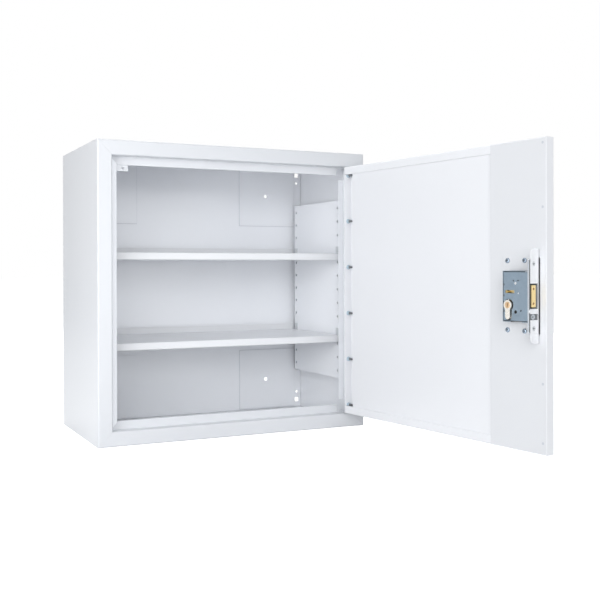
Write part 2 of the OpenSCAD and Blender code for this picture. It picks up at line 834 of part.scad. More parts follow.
// Pan-head screws through the bracket's foot
module bracket_screws() color(bright)
    on_door()
        for (p = foot_screws) {
            face_y = door_t + lock_bracket_t;
            rod_y(p[0], door_t - stile_t - 6, p[1], screw_r, face_y - door_t + stile_t + 6.5);
            translate([p[0], face_y, p[1]])
                rotate([-90, 0, 0]) {
                    difference() {
                        union() {
                            cylinder(r = 4.4, h = 1.4);
                            translate([0, 0, 1.4]) cylinder(r1 = 4.4, r2 = 3, h = 1.2);
                        }
                        for (turn = [0, 90])
                            rotate([0, 0, turn]) translate([-0.5, -2, 1.2]) cube([1, 4, 3]);
                    }
                }
        }

// Forend plate with rounded corners, the bolt's mouth and holes for its screws
module lock_forend() color(zinc)
    on_door()
        difference() {
            along_x(forend_x - forend_t, forend_t)
                difference() {
                    translate([lock_y - forend_w / 2, lock_z - forend_h / 2])
                        soft_corners(forend_w, forend_h, forend_r, true);
                    translate([bolt_y - mouth_gap, lock_z - bolt_h / 2 - mouth_gap])
                        square([bolt_t + 2 * mouth_gap, bolt_h + 2 * mouth_gap]);
                }
            for (z = [-forend_screw_z, forend_screw_z])
                rod_x(forend_x - forend_t - cut, lock_y, lock_z + z, screw_r + 0.1, forend_t + 2 * cut);
            rod_x(forend_x - forend_t - cut, lock_y, cylinder_z - screw_drop, screw_r + 0.1,
                forend_t + 2 * cut);
            countersink_x(forend_x + 0.1, lock_y, cylinder_z - screw_drop, 4.6, 2.6, 2);
        }

module forend_screws() color(bright)
    on_door()
        for (z = [-forend_screw_z, forend_screw_z])
            countersunk_screw(plate_x, lock_y, lock_z + z, lock_bracket_t + forend_t + 6);

module cylinder_screw() color(bright)
    on_door()
        countersunk_screw(forend_x, lock_y, cylinder_z - screw_drop, backset - leg_r + 8);

// Countersunk screw along X with a cross recess, its head flush with x
module countersunk_screw(x, y, z, length) {
    difference() {
        union() {
            rod_x(x - length, y, z, screw_r, length - 1);
            countersink_x(x, y, z, 4.4, screw_r, 2);
        }
        for (turn = [0, 90])
            translate([x, y, z])
                rotate([turn, 0, 0])
                    translate([-1.2, -2.2, -0.5])
                        cube([1.2 + cut, 4.4, 1]);
    }
}

// Tray of the lock case: back plate, rear and top walls and a bottom wall with a slot in it
module lock_case() color(zinc)
    on_door() {
        inner = case_w - 2 * case_t;
        case_len = case_depth - forend_t;
        difference() {
            translate([case_x, case_y, case_z]) cube([case_len, case_t, case_h]);
            cylinder_cut(case_y - cut, case_t + 2 * cut, 0.6);
            rod_y(pillar[0], case_y - cut, pillar[1], pillar_r + 0.05, case_t + 2 * cut);
        }
        translate([case_x, case_y + case_t, case_z]) cube([case_t, inner, case_h]);
        translate([case_x, case_y + case_t, case_z + case_h - case_t])
            cube([case_len, inner, case_t]);
        difference() {
            translate([case_x, case_y + case_t, case_z]) cube([case_len, inner, case_t]);
            translate([case_x + 17.5, case_y + case_t - cut, case_z - cut])
                cube([24, inner + 2 * cut, case_t + 2 * cut]);
        }
    }

// Cover plate with the guide slot, inspection holes and notches in its rear edge, which is
// also open beside the cylinder
module lock_cover() color(zinc)
    on_door()
        along_y(case_y + case_w - case_t, case_t)
            difference() {
                translate([cover_x, cover_z]) square([forend_x - forend_t - cover_x, cover_h]);
                translate([cylinder_x, cylinder_z]) euro_profile(1.8);
                translate([case_x, cylinder_z - 6]) square([cylinder_x - case_x, 12]);
                translate([guide_x - guide_r - slot_play, guide_z - guide_r - 0.3])
                    square([bolt_throw + 2 * (guide_r + slot_play), 2 * guide_r + 0.6]);
                translate(pillar) circle(r = pillar_r + 0.05);
                translate(cover_stud) circle(r = cover_stud_r + 0.05);
                for (hole = cover_holes)
                    translate([case_x + hole[0], case_z + hole[1]]) circle(r = hole[2]);
                for (z = cover_notches) translate([cover_x, case_z + z]) circle(r = notch_r);
            }

// Pillar riveted through the two plates of the case, and a stud peened into the cover
module case_rivets() color(bright)
    on_door() {
        rod_y(pillar[0], case_y - 0.4, pillar[1], pillar_r, case_w + 0.4);
        rod_y(pillar[0], case_y + case_w, pillar[1], pillar_r + 0.5, 0.4);
        rod_y(pillar[0], case_y - 0.5, pillar[1], pillar_r + 0.5, 0.5);
        rod_y(cover_stud[0], case_y + case_w - case_t, cover_stud[1], cover_stud_r, case_t + 0.3);
    }

// Leaf spring that drags on the bolt's upper edge
module bolt_spring() color(bright)
    on_door() {
        top = case_z + case_h - case_t;
        low = lock_z + bolt_h / 2 + face_gap;
        x = forend_x - 20;
        along_y(lock_y - 3, 6)
            polygon([[x + 7, top], [x + 12, top], [x + 12, top - 0.8], [x + 7.8, top - 0.8],
                [x + 1, low], [x, low], [x - 7, low + 5], [x - 6.2, low + 5.4], [x, low + 1]]);
    }

// Euro cylinder: profile body with a plug bore, a slot for the cam and a screw hole
module cylinder_body() color(bright)
    on_door()
        difference() {
            cylinder_cut(-cylinder_proud, cylinder_end + cylinder_proud, 0);
            rod_y(cylinder_x, -cylinder_proud - cut, cylinder_z, plug_r + plug_clearance,
                cylinder_end + cylinder_proud + 2 * cut);
            translate([cylinder_x - 10, lock_y - cam_slot / 2, cylinder_z - screw_drop + 3.5])
                cube([20, cam_slot, screw_drop + 10]);
            rod_x(cylinder_x - 10, lock_y, cylinder_z - screw_drop, screw_r + 0.1, 20);
        }

// Turning plug with its keyway, running to the given depth
module plug(y, length) {
    difference() {
        rod_y(cylinder_x, y, cylinder_z, plug_r, length);
        for (end = [y - cut, y + length - 3])
            translate([cylinder_x - 0.9, end, cylinder_z - 4.5]) cube([1.8, 3 + cut, 8.5]);
    }
}

module cylinder_plug() color(brass)
    on_door()
        plug(-cylinder_proud - 0.4, lock_y - cam_slot / 2 + face_gap + cylinder_proud + 0.4);

module cylinder_inner_plug() color(brass)
    on_door()
        plug(lock_y + cam_slot / 2 - face_gap, cylinder_end - lock_y - cam_slot / 2 + face_gap + 0.4);

// Cam between the two plugs, its finger in the bolt's notch
module cylinder_cam() color(bright)
    on_door()
        along_y(lock_y - cam_slot / 2 + face_gap, cam_slot - 2 * face_gap)
            translate([cylinder_x, cylinder_z])
                rotate(cam_half)
                    intersection() {
                        union() {
                            circle(r = euro_r - 0.3);
                            translate([-cam_w / 2, 0]) square([cam_w, cam_reach]);
                        }
                        circle(r = cam_reach);
                    }

// Deadbolt: a square head and a thinner tail with the notch that the cam drives
module deadbolt() color(brass)
    on_door() {
        // The notch widens downwards, so that the tilted finger keeps the same play all the way
        drop = tail_z - cylinder_z;
        notch_top = cylinder_z + cam_reach + cam_play;
        wide = cam_reach * sin(cam_half) - drop * tan(cam_half) + cam_w / 2 / cos(cam_half) + cam_play;
        narrow = cam_w / 2 + cam_play;
        notch_x = cylinder_x - bolt_throw / 2;
        tail_end = notch_x - wide - 2;
        head_x = bolt_face - bolt_head;
        difference() {
            union() {
                translate([head_x, bolt_y, lock_z - bolt_h / 2]) cube([bolt_head, bolt_t, bolt_h]);
                translate([tail_end, lock_y - tail_t / 2, tail_z])
                    cube([head_x - tail_end + cut, tail_t, tail_h]);
            }
            along_y(lock_y - tail_t / 2 - cut, tail_t + 2 * cut)
                polygon([[notch_x - wide, tail_z - cut], [notch_x + wide, tail_z - cut],
                    [notch_x + wide, tail_z], [notch_x + narrow, notch_top],
                    [notch_x - narrow, notch_top], [notch_x - wide, tail_z]]);
            for (z = [-bolt_pin_z, bolt_pin_z])
                rod_x(bolt_face - 30, lock_y, lock_z + z, 2.02, 30 + cut);
            rod_y(guide_x, lock_y, guide_z, guide_r - 0.3, tail_t);
        }
    }

// Hardened pins let into the bolt against sawing
module bolt_pins() color(bright)
    on_door()
        for (z = [-bolt_pin_z, bolt_pin_z])
            rod_x(bolt_face - 30, lock_y, lock_z + z, 2, 30);

// Guide pin in the bolt's tail, running in the cover's slot
module bolt_guide_pin() color(brass)
    on_door() {
        rod_y(guide_x, lock_y, guide_z, guide_r - 0.35, tail_t / 2 + 0.5);
        rod_y(guide_x, lock_y + tail_t / 2, guide_z, guide_r, case_w / 2 - tail_t / 2 - 0.3);
    }

// Oblong plate round the cylinder on the outside of the door
module escutcheon() color(bright)
    on_door()
        along_y(-escutcheon_t, escutcheon_t)
            translate([cylinder_x, cylinder_z])
                difference() {
                    union() {
                        half = 12;
                        centre = -(euro_h / 2 - euro_r);
                        for (z = [centre - half, centre + half]) translate([0, z]) circle(r = 16);
                        translate([-16, centre - half]) square([32, 2 * half]);
                    }
                    euro_profile(face_gap);
                }

// ---------------------------------------------------------------- the nodes

left_side();
right_side();
top_panel();
base_panel();
back_panel();
wall_plate_top_left();
wall_plate_top_right();
wall_plate_bottom_left();
wall_plate_bottom_right();
left_liner();
right_liner();
upper_shelf();
lower_shelf();
upper_shelf_clips();
lower_shelf_clips();
corner_tab();
hinge_stop();
bolt_keep();
hinge_frame_leaf();
hinge_pin();
door_skin();
door_liner();
door_stiffener();
lock_stile();
hinge_door_leaf();
hinge_studs();
hinge_washers();
hinge_nuts();
lock_bracket();
bracket_screws();
lock_forend();
forend_screws();
lock_case();
lock_cover();
case_rivets();
bolt_spring();
cylinder_body();
cylinder_screw();
escutcheon();
cylinder_plug();
cylinder_cam();
cylinder_inner_plug();
deadbolt();
bolt_pins();
bolt_guide_pin();
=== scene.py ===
# %% [markdown]
# # A lockable medicine cabinet, dressed for the studio
#
# The cabinet is a square steel casing with an inset door on a long hinge. Its CAD model is
# already packed, so this lesson only adds what a camera sees: coated sheet metal, plated
# fasteners, a brass bolt and a plain studio. Everything is in metres, in the CAD's own frame:
# +Z is up, -Y is the front, and the origin is the middle of the casing's underside.

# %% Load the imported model
import json
import math

import bmesh
import bpy
import numpy as np
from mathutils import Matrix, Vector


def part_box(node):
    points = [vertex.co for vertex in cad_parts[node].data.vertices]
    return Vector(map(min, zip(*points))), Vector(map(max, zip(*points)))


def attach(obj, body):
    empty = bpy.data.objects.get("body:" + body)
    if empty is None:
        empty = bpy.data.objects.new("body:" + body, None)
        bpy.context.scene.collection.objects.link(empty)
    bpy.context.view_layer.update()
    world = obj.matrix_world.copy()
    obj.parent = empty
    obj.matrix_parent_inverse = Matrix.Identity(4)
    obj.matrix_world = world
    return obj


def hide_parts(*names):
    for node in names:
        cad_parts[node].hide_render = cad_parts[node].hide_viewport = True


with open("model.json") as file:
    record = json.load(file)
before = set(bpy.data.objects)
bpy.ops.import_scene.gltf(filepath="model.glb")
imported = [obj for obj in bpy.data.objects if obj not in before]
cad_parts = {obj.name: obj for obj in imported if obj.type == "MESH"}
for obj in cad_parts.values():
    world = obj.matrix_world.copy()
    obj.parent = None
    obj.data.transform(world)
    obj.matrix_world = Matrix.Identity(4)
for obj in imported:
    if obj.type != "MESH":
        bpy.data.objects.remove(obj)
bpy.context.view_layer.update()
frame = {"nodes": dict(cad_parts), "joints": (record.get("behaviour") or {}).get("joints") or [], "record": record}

MM = 0.001
swing = next(j for j in frame["joints"] if j["name"] == "door_swing")
HINGE_X, HINGE_Y = (c / MM for c in swing["pos_m"][:2])
OPEN_ANGLE = math.radians(-swing["range_deg"][0])
print("hinge at", HINGE_X, HINGE_Y, "door open by", math.degrees(OPEN_ANGLE))

# %% [markdown]
# ## The camera
#
# A product picture is taken from far enough away that the casing's sides stay nearly
# parallel. The camera stands a little above the cabinet's middle and looks level, so that
# upright edges stay upright, and the lens is shifted instead of tilted to centre the cabinet.

# %% Place the camera
PICTURE_PIXELS, SENSOR_MM = 600, 36.0
FOCAL_PIXELS = 886.41
OPTICAL_CENTRE = (252.89, 270.88)             # pixels from the picture's upper left corner
CAMERA_PLACE = (-0.7411, -1.8309, 0.3479)     # metres
CAMERA_TURN = (89.839, 0.128, -24.647)        # degrees
camera_data = bpy.data.cameras.new("camera")
camera = bpy.data.objects.new("camera", camera_data)
bpy.context.scene.collection.objects.link(camera)
camera_data.sensor_width = SENSOR_MM
camera_data.lens = camera_data.sensor_width * FOCAL_PIXELS / PICTURE_PIXELS
camera_data.shift_x = 0.5 - OPTICAL_CENTRE[0] / PICTURE_PIXELS
camera_data.shift_y = OPTICAL_CENTRE[1] / PICTURE_PIXELS - 0.5
camera.location = CAMERA_PLACE
camera.rotation_euler = [math.radians(angle) for angle in CAMERA_TURN]
bpy.context.scene.camera = camera
bpy.context.scene.view_settings.view_transform = "Standard"
print(f"camera with a {camera_data.lens:.1f} mm lens")

# %% [markdown]
# ## The studio
#
# White goods are lit from all round by a bright tent. A world of even light is the simplest
# tent. Six large, soft lamps add to it: three stand in front, and one each at the left side,
# behind and above, so that every face of the cabinet gets a tone of its own. The floor is a
# plain white sheet. For the camera it glows a little, so that it runs into the white backdrop,
# and for all other rays it is a greyer white, as paper is. It keeps the cabinet's shadow.

# %% Helpers for building node trees


def new_tree(owner):
    """An owner's node tree, emptied, with a function that adds a node and sets its sockets."""
    owner.use_nodes = True
    tree = owner.node_tree
    tree.nodes.clear()

    def add(kind, **sockets):
        node = tree.nodes.new(kind)
        for name, value in sockets.items():
            if hasattr(node, name) and name not in node.inputs:
                setattr(node, name, value)
            else:
                node.inputs[name.replace("_", " ")].default_value = value
        return node

    return tree, add


def camera_sees(tree, add):
    """1 for rays that come from the camera, a mirror or glass, 0 for rays that light the scene."""
    path = add("ShaderNodeLightPath")
    first = add("ShaderNodeMath", operation="MAXIMUM")
    both = add("ShaderNodeMath", operation="MAXIMUM")
    tree.links.new(path.outputs["Is Camera Ray"], first.inputs[0])
    tree.links.new(path.outputs["Is Glossy Ray"], first.inputs[1])
    tree.links.new(first.outputs[0], both.inputs[0])
    tree.links.new(path.outputs["Is Transmission Ray"], both.inputs[1])
    return both.outputs[0]


# %% Put up the tent
WHITE = (1.0, 1.0, 1.0, 1.0)
TENT_TINT, TENT_STRENGTH = (0.88, 0.94, 1.0, 1.0), 0.27
world = bpy.data.worlds.new("tent")
bpy.context.scene.world = world
tree, add = new_tree(world)
tent = add("ShaderNodeBackground", Color=TENT_TINT, Strength=TENT_STRENGTH)
backdrop = add("ShaderNodeBackground", Color=WHITE, Strength=1.0)
mix = add("ShaderNodeMixShader")
tree.links.new(camera_sees(tree, add), mix.inputs[0])
tree.links.new(tent.outputs[0], mix.inputs[1])
tree.links.new(backdrop.outputs[0], mix.inputs[2])
tree.links.new(mix.outputs[0], add("ShaderNodeOutputWorld").inputs[0])
print("tent of strength", TENT_STRENGTH)

# %% Hang the lamps
LAMP_TARGET = (0.0, 0.0, 0.3)
LAMPS = {  # place and side in metres, and watts
    "front_light": ((-1.15, -2.85, 0.4), 2.0, 15),
    "high_light": ((-1.1, -2.7, 1.6), 2.0, 26),
    "right_light": ((0.3, -2.9, 0.4), 2.0, 18),
    "side_light": ((-1.25, -0.8, 0.4), 0.8, 9.8),
    "back_light": ((1.9, 2.3, 0.6), 2.4, 60),
    "top_light": ((0.3, 0.6, 2.6), 1.6, 25),
}


def soft_light(name, place, size, watts):
    """A square area light that faces the cabinet's middle. A lamp shines straight down until it is
    turned: its tilt has the level distance over the drop as tangent, and then it turns about
    the upright axis to the target's side."""
    data = bpy.data.lights.new(name, "AREA")
    data.shape, data.size, data.energy = "SQUARE", size, watts
    lamp = bpy.data.objects.new(name, data)
    bpy.context.scene.collection.objects.link(lamp)
    towards = np.subtract(LAMP_TARGET, place)
    level = math.hypot(towards[0], towards[1])
    lamp.location = place
    lamp.rotation_euler = (math.atan2(level, -towards[2]), 0, math.atan2(-towards[0], towards[1]))


for lamp_name, lamp_values in LAMPS.items():
    soft_light(lamp_name, *lamp_values)
print("lamps:", list(LAMPS))

# %% Lay the floor
FLOOR_HALF = 30.0
PAPER = (0.62, 0.62, 0.63, 1.0)
GLOW = 0.78
floor_mesh = bpy.data.meshes.new("floor")
side = np.array([-1.0, 1.0]) * FLOOR_HALF
corners = np.stack(np.meshgrid(side, side, [0.0]), -1).reshape(-1, 3)
floor_mesh.from_pydata(corners.tolist(), [], [[0, 1, 3, 2]])
floor = bpy.data.objects.new("floor", floor_mesh)
bpy.context.scene.collection.objects.link(floor)
paper = bpy.data.materials.new("white_paper")
tree, add = new_tree(paper)
seen = add("ShaderNodeBsdfDiffuse", Color=WHITE)
lit = add("ShaderNodeBsdfDiffuse", Color=PAPER)
glow = add("ShaderNodeEmission", Color=WHITE, Strength=GLOW)
sum_seen = add("ShaderNodeAddShader")
mix = add("ShaderNodeMixShader")
tree.links.new(seen.outputs[0], sum_seen.inputs[0])
tree.links.new(glow.outputs[0], sum_seen.inputs[1])
tree.links.new(camera_sees(tree, add), mix.inputs[0])
tree.links.new(lit.outputs[0], mix.inputs[1])
tree.links.new(sum_seen.outputs[0], mix.inputs[2])
tree.links.new(mix.outputs[0], add("ShaderNodeOutputMaterial").inputs[0])
floor_mesh.materials.append(paper)
print("floor", FLOOR_HALF * 2, "m square, facing up:", floor_mesh.polygons[0].normal.z > 0)

# %% [markdown]
# ## The finishes
#
# Powder coat is a thick, tough paint. It flows a little before it sets, which leaves a faint
# ripple called orange peel, and it shines softly. Each finish below is one Principled shader.
# Noise textures on Object coordinates move its colour and roughness a little and raise its
# ripple, and constants are set straight on the shader's sockets.

# %% A finish from noise
NOISE_RANGE = (0.3, 0.7)     # nearly all values of the noise lie between these


def finish(name, colour, roughness, metallic=0.0, tone=0.02, peel=0.00004, peel_size=0.004,
           grain=(1, 1, 1), patch=0.12, rough_tone=0.04):
    """One metal or paint. Colour is moved by +-tone and roughness by +-rough_tone in soft
    patches of the size patch, and a finer noise of the size peel_size, stretched by grain,
    raises the surface by peel metres."""
    made = bpy.data.materials.new(name)
    tree, add = new_tree(made)
    link = tree.links.new
    place = add("ShaderNodeTexCoord").outputs["Object"]
    soft = add("ShaderNodeTexNoise", Scale=1 / patch, Detail=3.0, Roughness=0.55)
    stretch = add("ShaderNodeMapping", Scale=grain)
    fine = add("ShaderNodeTexNoise", Scale=1 / peel_size, Detail=2.0, Roughness=0.5)
    link(place, soft.inputs["Vector"])
    link(place, stretch.inputs["Vector"])
    link(stretch.outputs[0], fine.inputs["Vector"])
    colour_ramp = add("ShaderNodeValToRGB")
    stops = colour_ramp.color_ramp.elements
    for stop, position, share in zip(stops, NOISE_RANGE, (1 - tone, 1 + tone)):
        stop.color = tuple(min(1.0, c * share) for c in colour) + (1,)
        stop.position = position
    both = add("ShaderNodeMath", operation="ADD")
    link(soft.outputs["Fac"], both.inputs[0])
    link(fine.outputs["Fac"], both.inputs[1])
    half = add("ShaderNodeMath", operation="MULTIPLY")
    half.inputs[1].default_value = 0.5
    link(both.outputs[0], half.inputs[0])
    link(half.outputs[0], colour_ramp.inputs[0])
    rough_range = add("ShaderNodeMapRange", From_Min=NOISE_RANGE[0], From_Max=NOISE_RANGE[1],
                      To_Min=roughness - rough_tone, To_Max=roughness + rough_tone)
    link(half.outputs[0], rough_range.inputs[0])
    bump = add("ShaderNodeBump", Strength=1.0, Distance=peel)
    link(fine.outputs["Fac"], bump.inputs["Height"])
    shader = add("ShaderNodeBsdfPrincipled", Metallic=metallic)
    link(colour_ramp.outputs[0], shader.inputs["Base Color"])
    link(rough_range.outputs[0], shader.inputs["Roughness"])
    link(bump.outputs[0], shader.inputs["Normal"])
    link(shader.outputs[0], add("ShaderNodeOutputMaterial").inputs[0])
    return made


# %% Mix the paints


def paint(name, colour, roughness, tone=0.004):
    """Powder coat: a finish of nearly one tone, whose ripple is too low to be seen as bumps."""
    return finish(name, colour, roughness, tone=tone, peel=0.0000003, rough_tone=0.004)


# These four coats are lighter and darker copies of the cabinet's one white powder coat, so that light and shade
# are painted into each part's colour.
case_paint = paint("case_paint", (0.69, 0.706, 0.735), 0.30)
inner_paint = paint("inner_paint", (0.915, 0.932, 0.965), 0.18, tone=0.003)
door_paint = paint("door_paint", (0.872, 0.882, 0.907), 0.28)
stile_paint = paint("stile_paint", (0.775, 0.787, 0.81), 0.28)
# A grey used as painted shade behind the liners and round the wall plates, and on the weld marks.
shade_and_weld_grey = finish("shade_and_weld_grey", (0.62, 0.645, 0.69), 0.5, tone=0.03, peel=0.00001,
                   peel_size=0.002)
print("paints:", [made.name for made in (case_paint, inner_paint, door_paint, stile_paint)])

# %% [markdown]
# Zinc plating is bluish and cloudy, and it is duller than bare bright steel. The lock's case is
# only galvanised. Brushed metal has its grain stretched along one direction, which the last
# number of grain does: below 1 the noise is drawn out along z, and above 1 across it.

# %% Mix the metals
zinc = finish("zinc_plate", (0.226, 0.288, 0.348), 0.46, metallic=0.6, tone=0.10, peel=0.00001,
              peel_size=0.0012, grain=(1, 1, 0.25), patch=0.01, rough_tone=0.08)
blue_steel = finish("blue_zinc", (0.26, 0.32, 0.39), 0.34, metallic=0.9, tone=0.10,
                    peel=0.000005, peel_size=0.001, patch=0.004)
pale_zinc = finish("pale_zinc", (0.52, 0.62, 0.69), 0.40, metallic=0.5, tone=0.05,
                   peel=0.000005, peel_size=0.0008, patch=0.008)
clip_zinc = finish("clip_zinc", (0.66, 0.68, 0.70), 0.36, metallic=0.6, tone=0.05,
                   peel=0.000004, peel_size=0.001, patch=0.008)
forend_steel = finish("forend_steel", (0.50, 0.535, 0.57), 0.36, metallic=0.75, tone=0.05,
                      peel=0.000005, peel_size=0.0008, grain=(1, 1, 0.2), patch=0.01)
# Dark steel for the studs, also used as painted shade in the lock and in the screws' crosses.
bare_steel_and_shade = finish("bare_steel_and_shade", (0.16, 0.17, 0.18), 0.5, metallic=0.3, tone=0.08,
                    peel=0.00001, peel_size=0.002, patch=0.02)
bright_steel = finish("bright_steel", (0.70, 0.72, 0.74), 0.24, metallic=1.0, tone=0.05,
                      peel=0.000005, peel_size=0.001, patch=0.01)
nickel = finish("satin_nickel", (0.78, 0.74, 0.68), 0.28, metallic=1.0, tone=0.03,
                peel=0.000005, peel_size=0.0008, grain=(1, 1, 6), patch=0.01)
brass = finish("machined_brass", (0.87, 0.69, 0.36), 0.30, metallic=1.0, tone=0.06,
               peel=0.000006, peel_size=0.0007, grain=(1, 1, 8), patch=0.008)
# Brass darkened as painted shade, for the guide pin in the cover's slot.
shaded_brass = finish("shaded_brass", (0.40, 0.30, 0.12), 0.42, metallic=0.9, tone=0.06,
                    peel=0.000005, peel_size=0.0007, patch=0.006)
plug_brass = finish("plug_brass", (0.66, 0.46, 0.28), 0.34, metallic=0.9, tone=0.06,
                    peel=0.000005, peel_size=0.0007, patch=0.006)
bronze = finish("dull_bronze", (0.33, 0.17, 0.08), 0.42, metallic=0.8, tone=0.10,
                peel=0.000005, peel_size=0.001, patch=0.004)
print("materials so far:", len(bpy.data.materials))

# %% [markdown]
# The record names a material slot for each node of the CAD model. Every node gets the finish of
# its slot, also where a finer piece will stand for it later.

# %% Dress the CAD nodes
FINISHES = {"case_paint": case_paint, "inner_paint": inner_paint, "door_paint": door_paint,
            "zinc": zinc, "bright_steel": bright_steel, "nickel": nickel, "brass": brass}
slot_of = {row["node"]: row["material_slot"] for row in frame["record"]["subparts"]}
body_of = {node: body for body, nodes in frame["record"]["behaviour"]["bodies"].items()
           for node in nodes}
for name, node in frame["nodes"].items():
    node.data.materials.clear()
    node.data.materials.append(FINISHES[slot_of[name]])
print(len(FINISHES), "finishes on", len(slot_of), "nodes")

# %% [markdown]
# ## Working in sheet metal
#
# Nearly every piece is a flat sheet that was folded on a press brake, so it has one
# thickness all along and a small radius inside each fold. Such a piece is drawn as a fabricator
# draws it: a bent line through the middle of the sheet, given its thickness to both sides, and
# then carried straight along the fold. The same helpers trim the ends to a mitre where two
# sheets meet at a corner. Points are in millimetres until the mesh is made.

# %% Round the corners of a line
HALF_TURN, FULL_TURN = math.pi, 2 * math.pi


def rounded(corners, radii, closed=False, steps=6, ease=1.0):
    """A line of straight legs through corners, each corner replaced by an arc of its radius.
    The arc's centre lies on the corner's bisector, at radius / cos(half the turn) from the
    corner. One more point lies on each leg, ease before and after an arc, so that smooth
    shading stays flat there. A radius of 0 leaves the corner as it is."""
    corners = np.asarray(corners, float)
    radii = np.broadcast_to(np.asarray(radii, float), len(corners))
    before, after = np.roll(corners, 1, 0) - corners, np.roll(corners, -1, 0) - corners
    room = np.minimum(np.linalg.norm(before, axis=1), np.linalg.norm(after, axis=1))
    before /= np.linalg.norm(before, axis=1)[:, None]
    after /= np.linalg.norm(after, axis=1)[:, None]
    turn = np.arctan2(after[:, 1], after[:, 0]) - np.arctan2(-before[:, 1], -before[:, 0])
    turn = (turn + HALF_TURN) % FULL_TURN - HALF_TURN
    reach = radii * np.tan(np.abs(turn) / 2)
    left = np.stack([before[:, 1], -before[:, 0]], 1) * np.sign(turn)[:, None]
    centre = corners + before * reach[:, None] + left * radii[:, None]
    sweep = turn[:, None] * np.linspace(0, 1, steps + 1)
    spoke = -left * radii[:, None]
    arc = np.stack([spoke[:, :1] * np.cos(sweep) - spoke[:, 1:] * np.sin(sweep),
                    spoke[:, :1] * np.sin(sweep) + spoke[:, 1:] * np.cos(sweep)], -1)
    arc += centre[:, None]
    away = np.where(radii > 0, np.minimum(reach + ease, 0.48 * room), 0)[:, None]
    start, end = corners + before * away, corners + after * away
    line = np.concatenate([start[:, None], arc, end[:, None]], 1)
    if closed:
        return line.reshape(-1, 2)
    return np.concatenate([corners[:1], line[1:-1].reshape(-1, 2), corners[-1:]])


def sheet_section(path, thickness):
    """Outline of a sheet whose middle follows path. Each point moves to both sides along the
    bisector of its two legs, by half the thickness over the cosine of half the turn."""
    legs = np.diff(path, axis=0)
    legs /= np.maximum(np.linalg.norm(legs, axis=1), 1e-9)[:, None]
    into, out = np.vstack([legs[:1], legs]), np.vstack([legs, legs[-1:]])
    along = into + out
    share = np.linalg.norm(along, axis=1)[:, None]
    side = np.stack([-along[:, 1], along[:, 0]], 1) / share ** 2 * thickness
    return np.concatenate([path + side, (path - side)[::-1]])


def flat_width(line):
    """Width of the flat sheet that a bent line needs: the sum of its legs."""
    return float(np.linalg.norm(np.diff(line, axis=0), axis=1).sum())


fold = rounded([(0, 0), (20, 0), (20, 20)], 2.0)
print(f"two legs of 20 mm with a fold of radius 2 mm between them: {flat_width(fold):.2f} mm")

# %% Carry a section along a straight fold


def bar(outline, low, high, place, paired=True):
    """A solid: the outline (p, q) carried from low to high, each a number or one value for
    each point, which makes a mitre. place(p, q, s) puts it in the room. paired closes the
    ends of a sheet's outline with quads across its thickness, else with one flat face."""
    count = len(outline)
    p, q = np.tile(outline, (2, 1)).T
    s = np.concatenate([np.broadcast_to(low, count), np.broadcast_to(high, count)])
    i = np.arange(count)
    sides = np.stack([i, np.roll(i, -1), np.roll(i, -1) + count, i + count], 1)
    if not paired:
        return place(p, q, s), [*sides.tolist(), i[::-1].tolist(), (i + count).tolist()]
    k = np.arange(count // 2 - 1)
    end = np.stack([k, count - 1 - k, count - 2 - k, k + 1], 1)
    return place(p, q, s), [*sides.tolist(), *end.tolist(), *(end[:, ::-1] + count).tolist()]


def room(x, y, z):
    """Cabinet coordinates as an array of points."""
    return np.stack(np.broadcast_arrays(x, y, z), -1).astype(float)


def box_outline(p0, p1, q0, q1):
    """Corners of a plain rectangle."""
    return np.array([(p0, q0), (p1, q0), (p1, q1), (p0, q1)], float)


points, faces = bar(sheet_section(fold, 2.0), 0, 50, room)
print("the folded sheet, 50 mm wide:", len(points), "points and", len(faces), "faces")

# %% [markdown]
# The door has its own coordinates, which turn with it: u runs from the hinge edge to the free
# edge, v from the outer skin inwards, and z upwards.

# %% Door coordinates
AXIS_TO_EDGE, AXIS_TO_SKIN = 1.6, 3.3


def on_door(u, v, z):
    """Door coordinates put into the room: a turn by the opening angle about the hinge axis."""
    along, across = -AXIS_TO_EDGE - u, AXIS_TO_SKIN + v
    return room(HINGE_X + along * math.cos(OPEN_ANGLE) - across * math.sin(OPEN_ANGLE),
                HINGE_Y + along * math.sin(OPEN_ANGLE) + across * math.cos(OPEN_ANGLE), z)


def to_door(x, y, z):
    """The turn undone: door coordinates of points in the room."""
    dx, dy = x - HINGE_X, y - HINGE_Y
    along = dx * math.cos(OPEN_ANGLE) + dy * math.sin(OPEN_ANGLE)
    across = dy * math.cos(OPEN_ANGLE) - dx * math.sin(OPEN_ANGLE)
    return -AXIS_TO_EDGE - along, across - AXIS_TO_SKIN, z


def door_test(test):
    """A test of a face's middle in the door's coordinates (u, v, z)."""
    return lambda x, y, z: test(*to_door(x, y, z))


print("the door's hinge edge at mid height is at", on_door(0, 0, 300).round(2), "mm")

# %% [markdown]
# Each piece stands for one or more nodes of the CAD model and moves with their body. Smooth
# shading makes a fold look round, and the edges that are really sharp are marked, so that the
# shading stops there. A small bevel breaks them, as a file does on real sheet.

# %% Make a piece


def dress(name, mesh, nodes, material, edge=0.0, sharp=35.0):
    """One object from a mesh, in the given material. It stands for the CAD nodes, whose parts it
    hides, and rides on the first one's body. Edges sharper than sharp degrees stay sharp, and if
    edge is given, they are broken by that many millimetres."""
    mesh.shade_smooth()
    mesh.set_sharp_from_angle(angle=math.radians(sharp))
    mesh.materials.clear()
    mesh.materials.append(material)
    made = bpy.data.objects.new(name, mesh)
    bpy.context.scene.collection.objects.link(made)
    if edge:
        bevel = made.modifiers.new("broken_edges", "BEVEL")
        bevel.width, bevel.segments, bevel.harden_normals = edge * MM, 2, True
        bevel.limit_method, bevel.angle_limit = "ANGLE", math.radians(sharp)
    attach(made, body_of[nodes[0]])
    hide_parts(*nodes)
    print(f"{name}: {len(mesh.polygons)} faces")
    return made


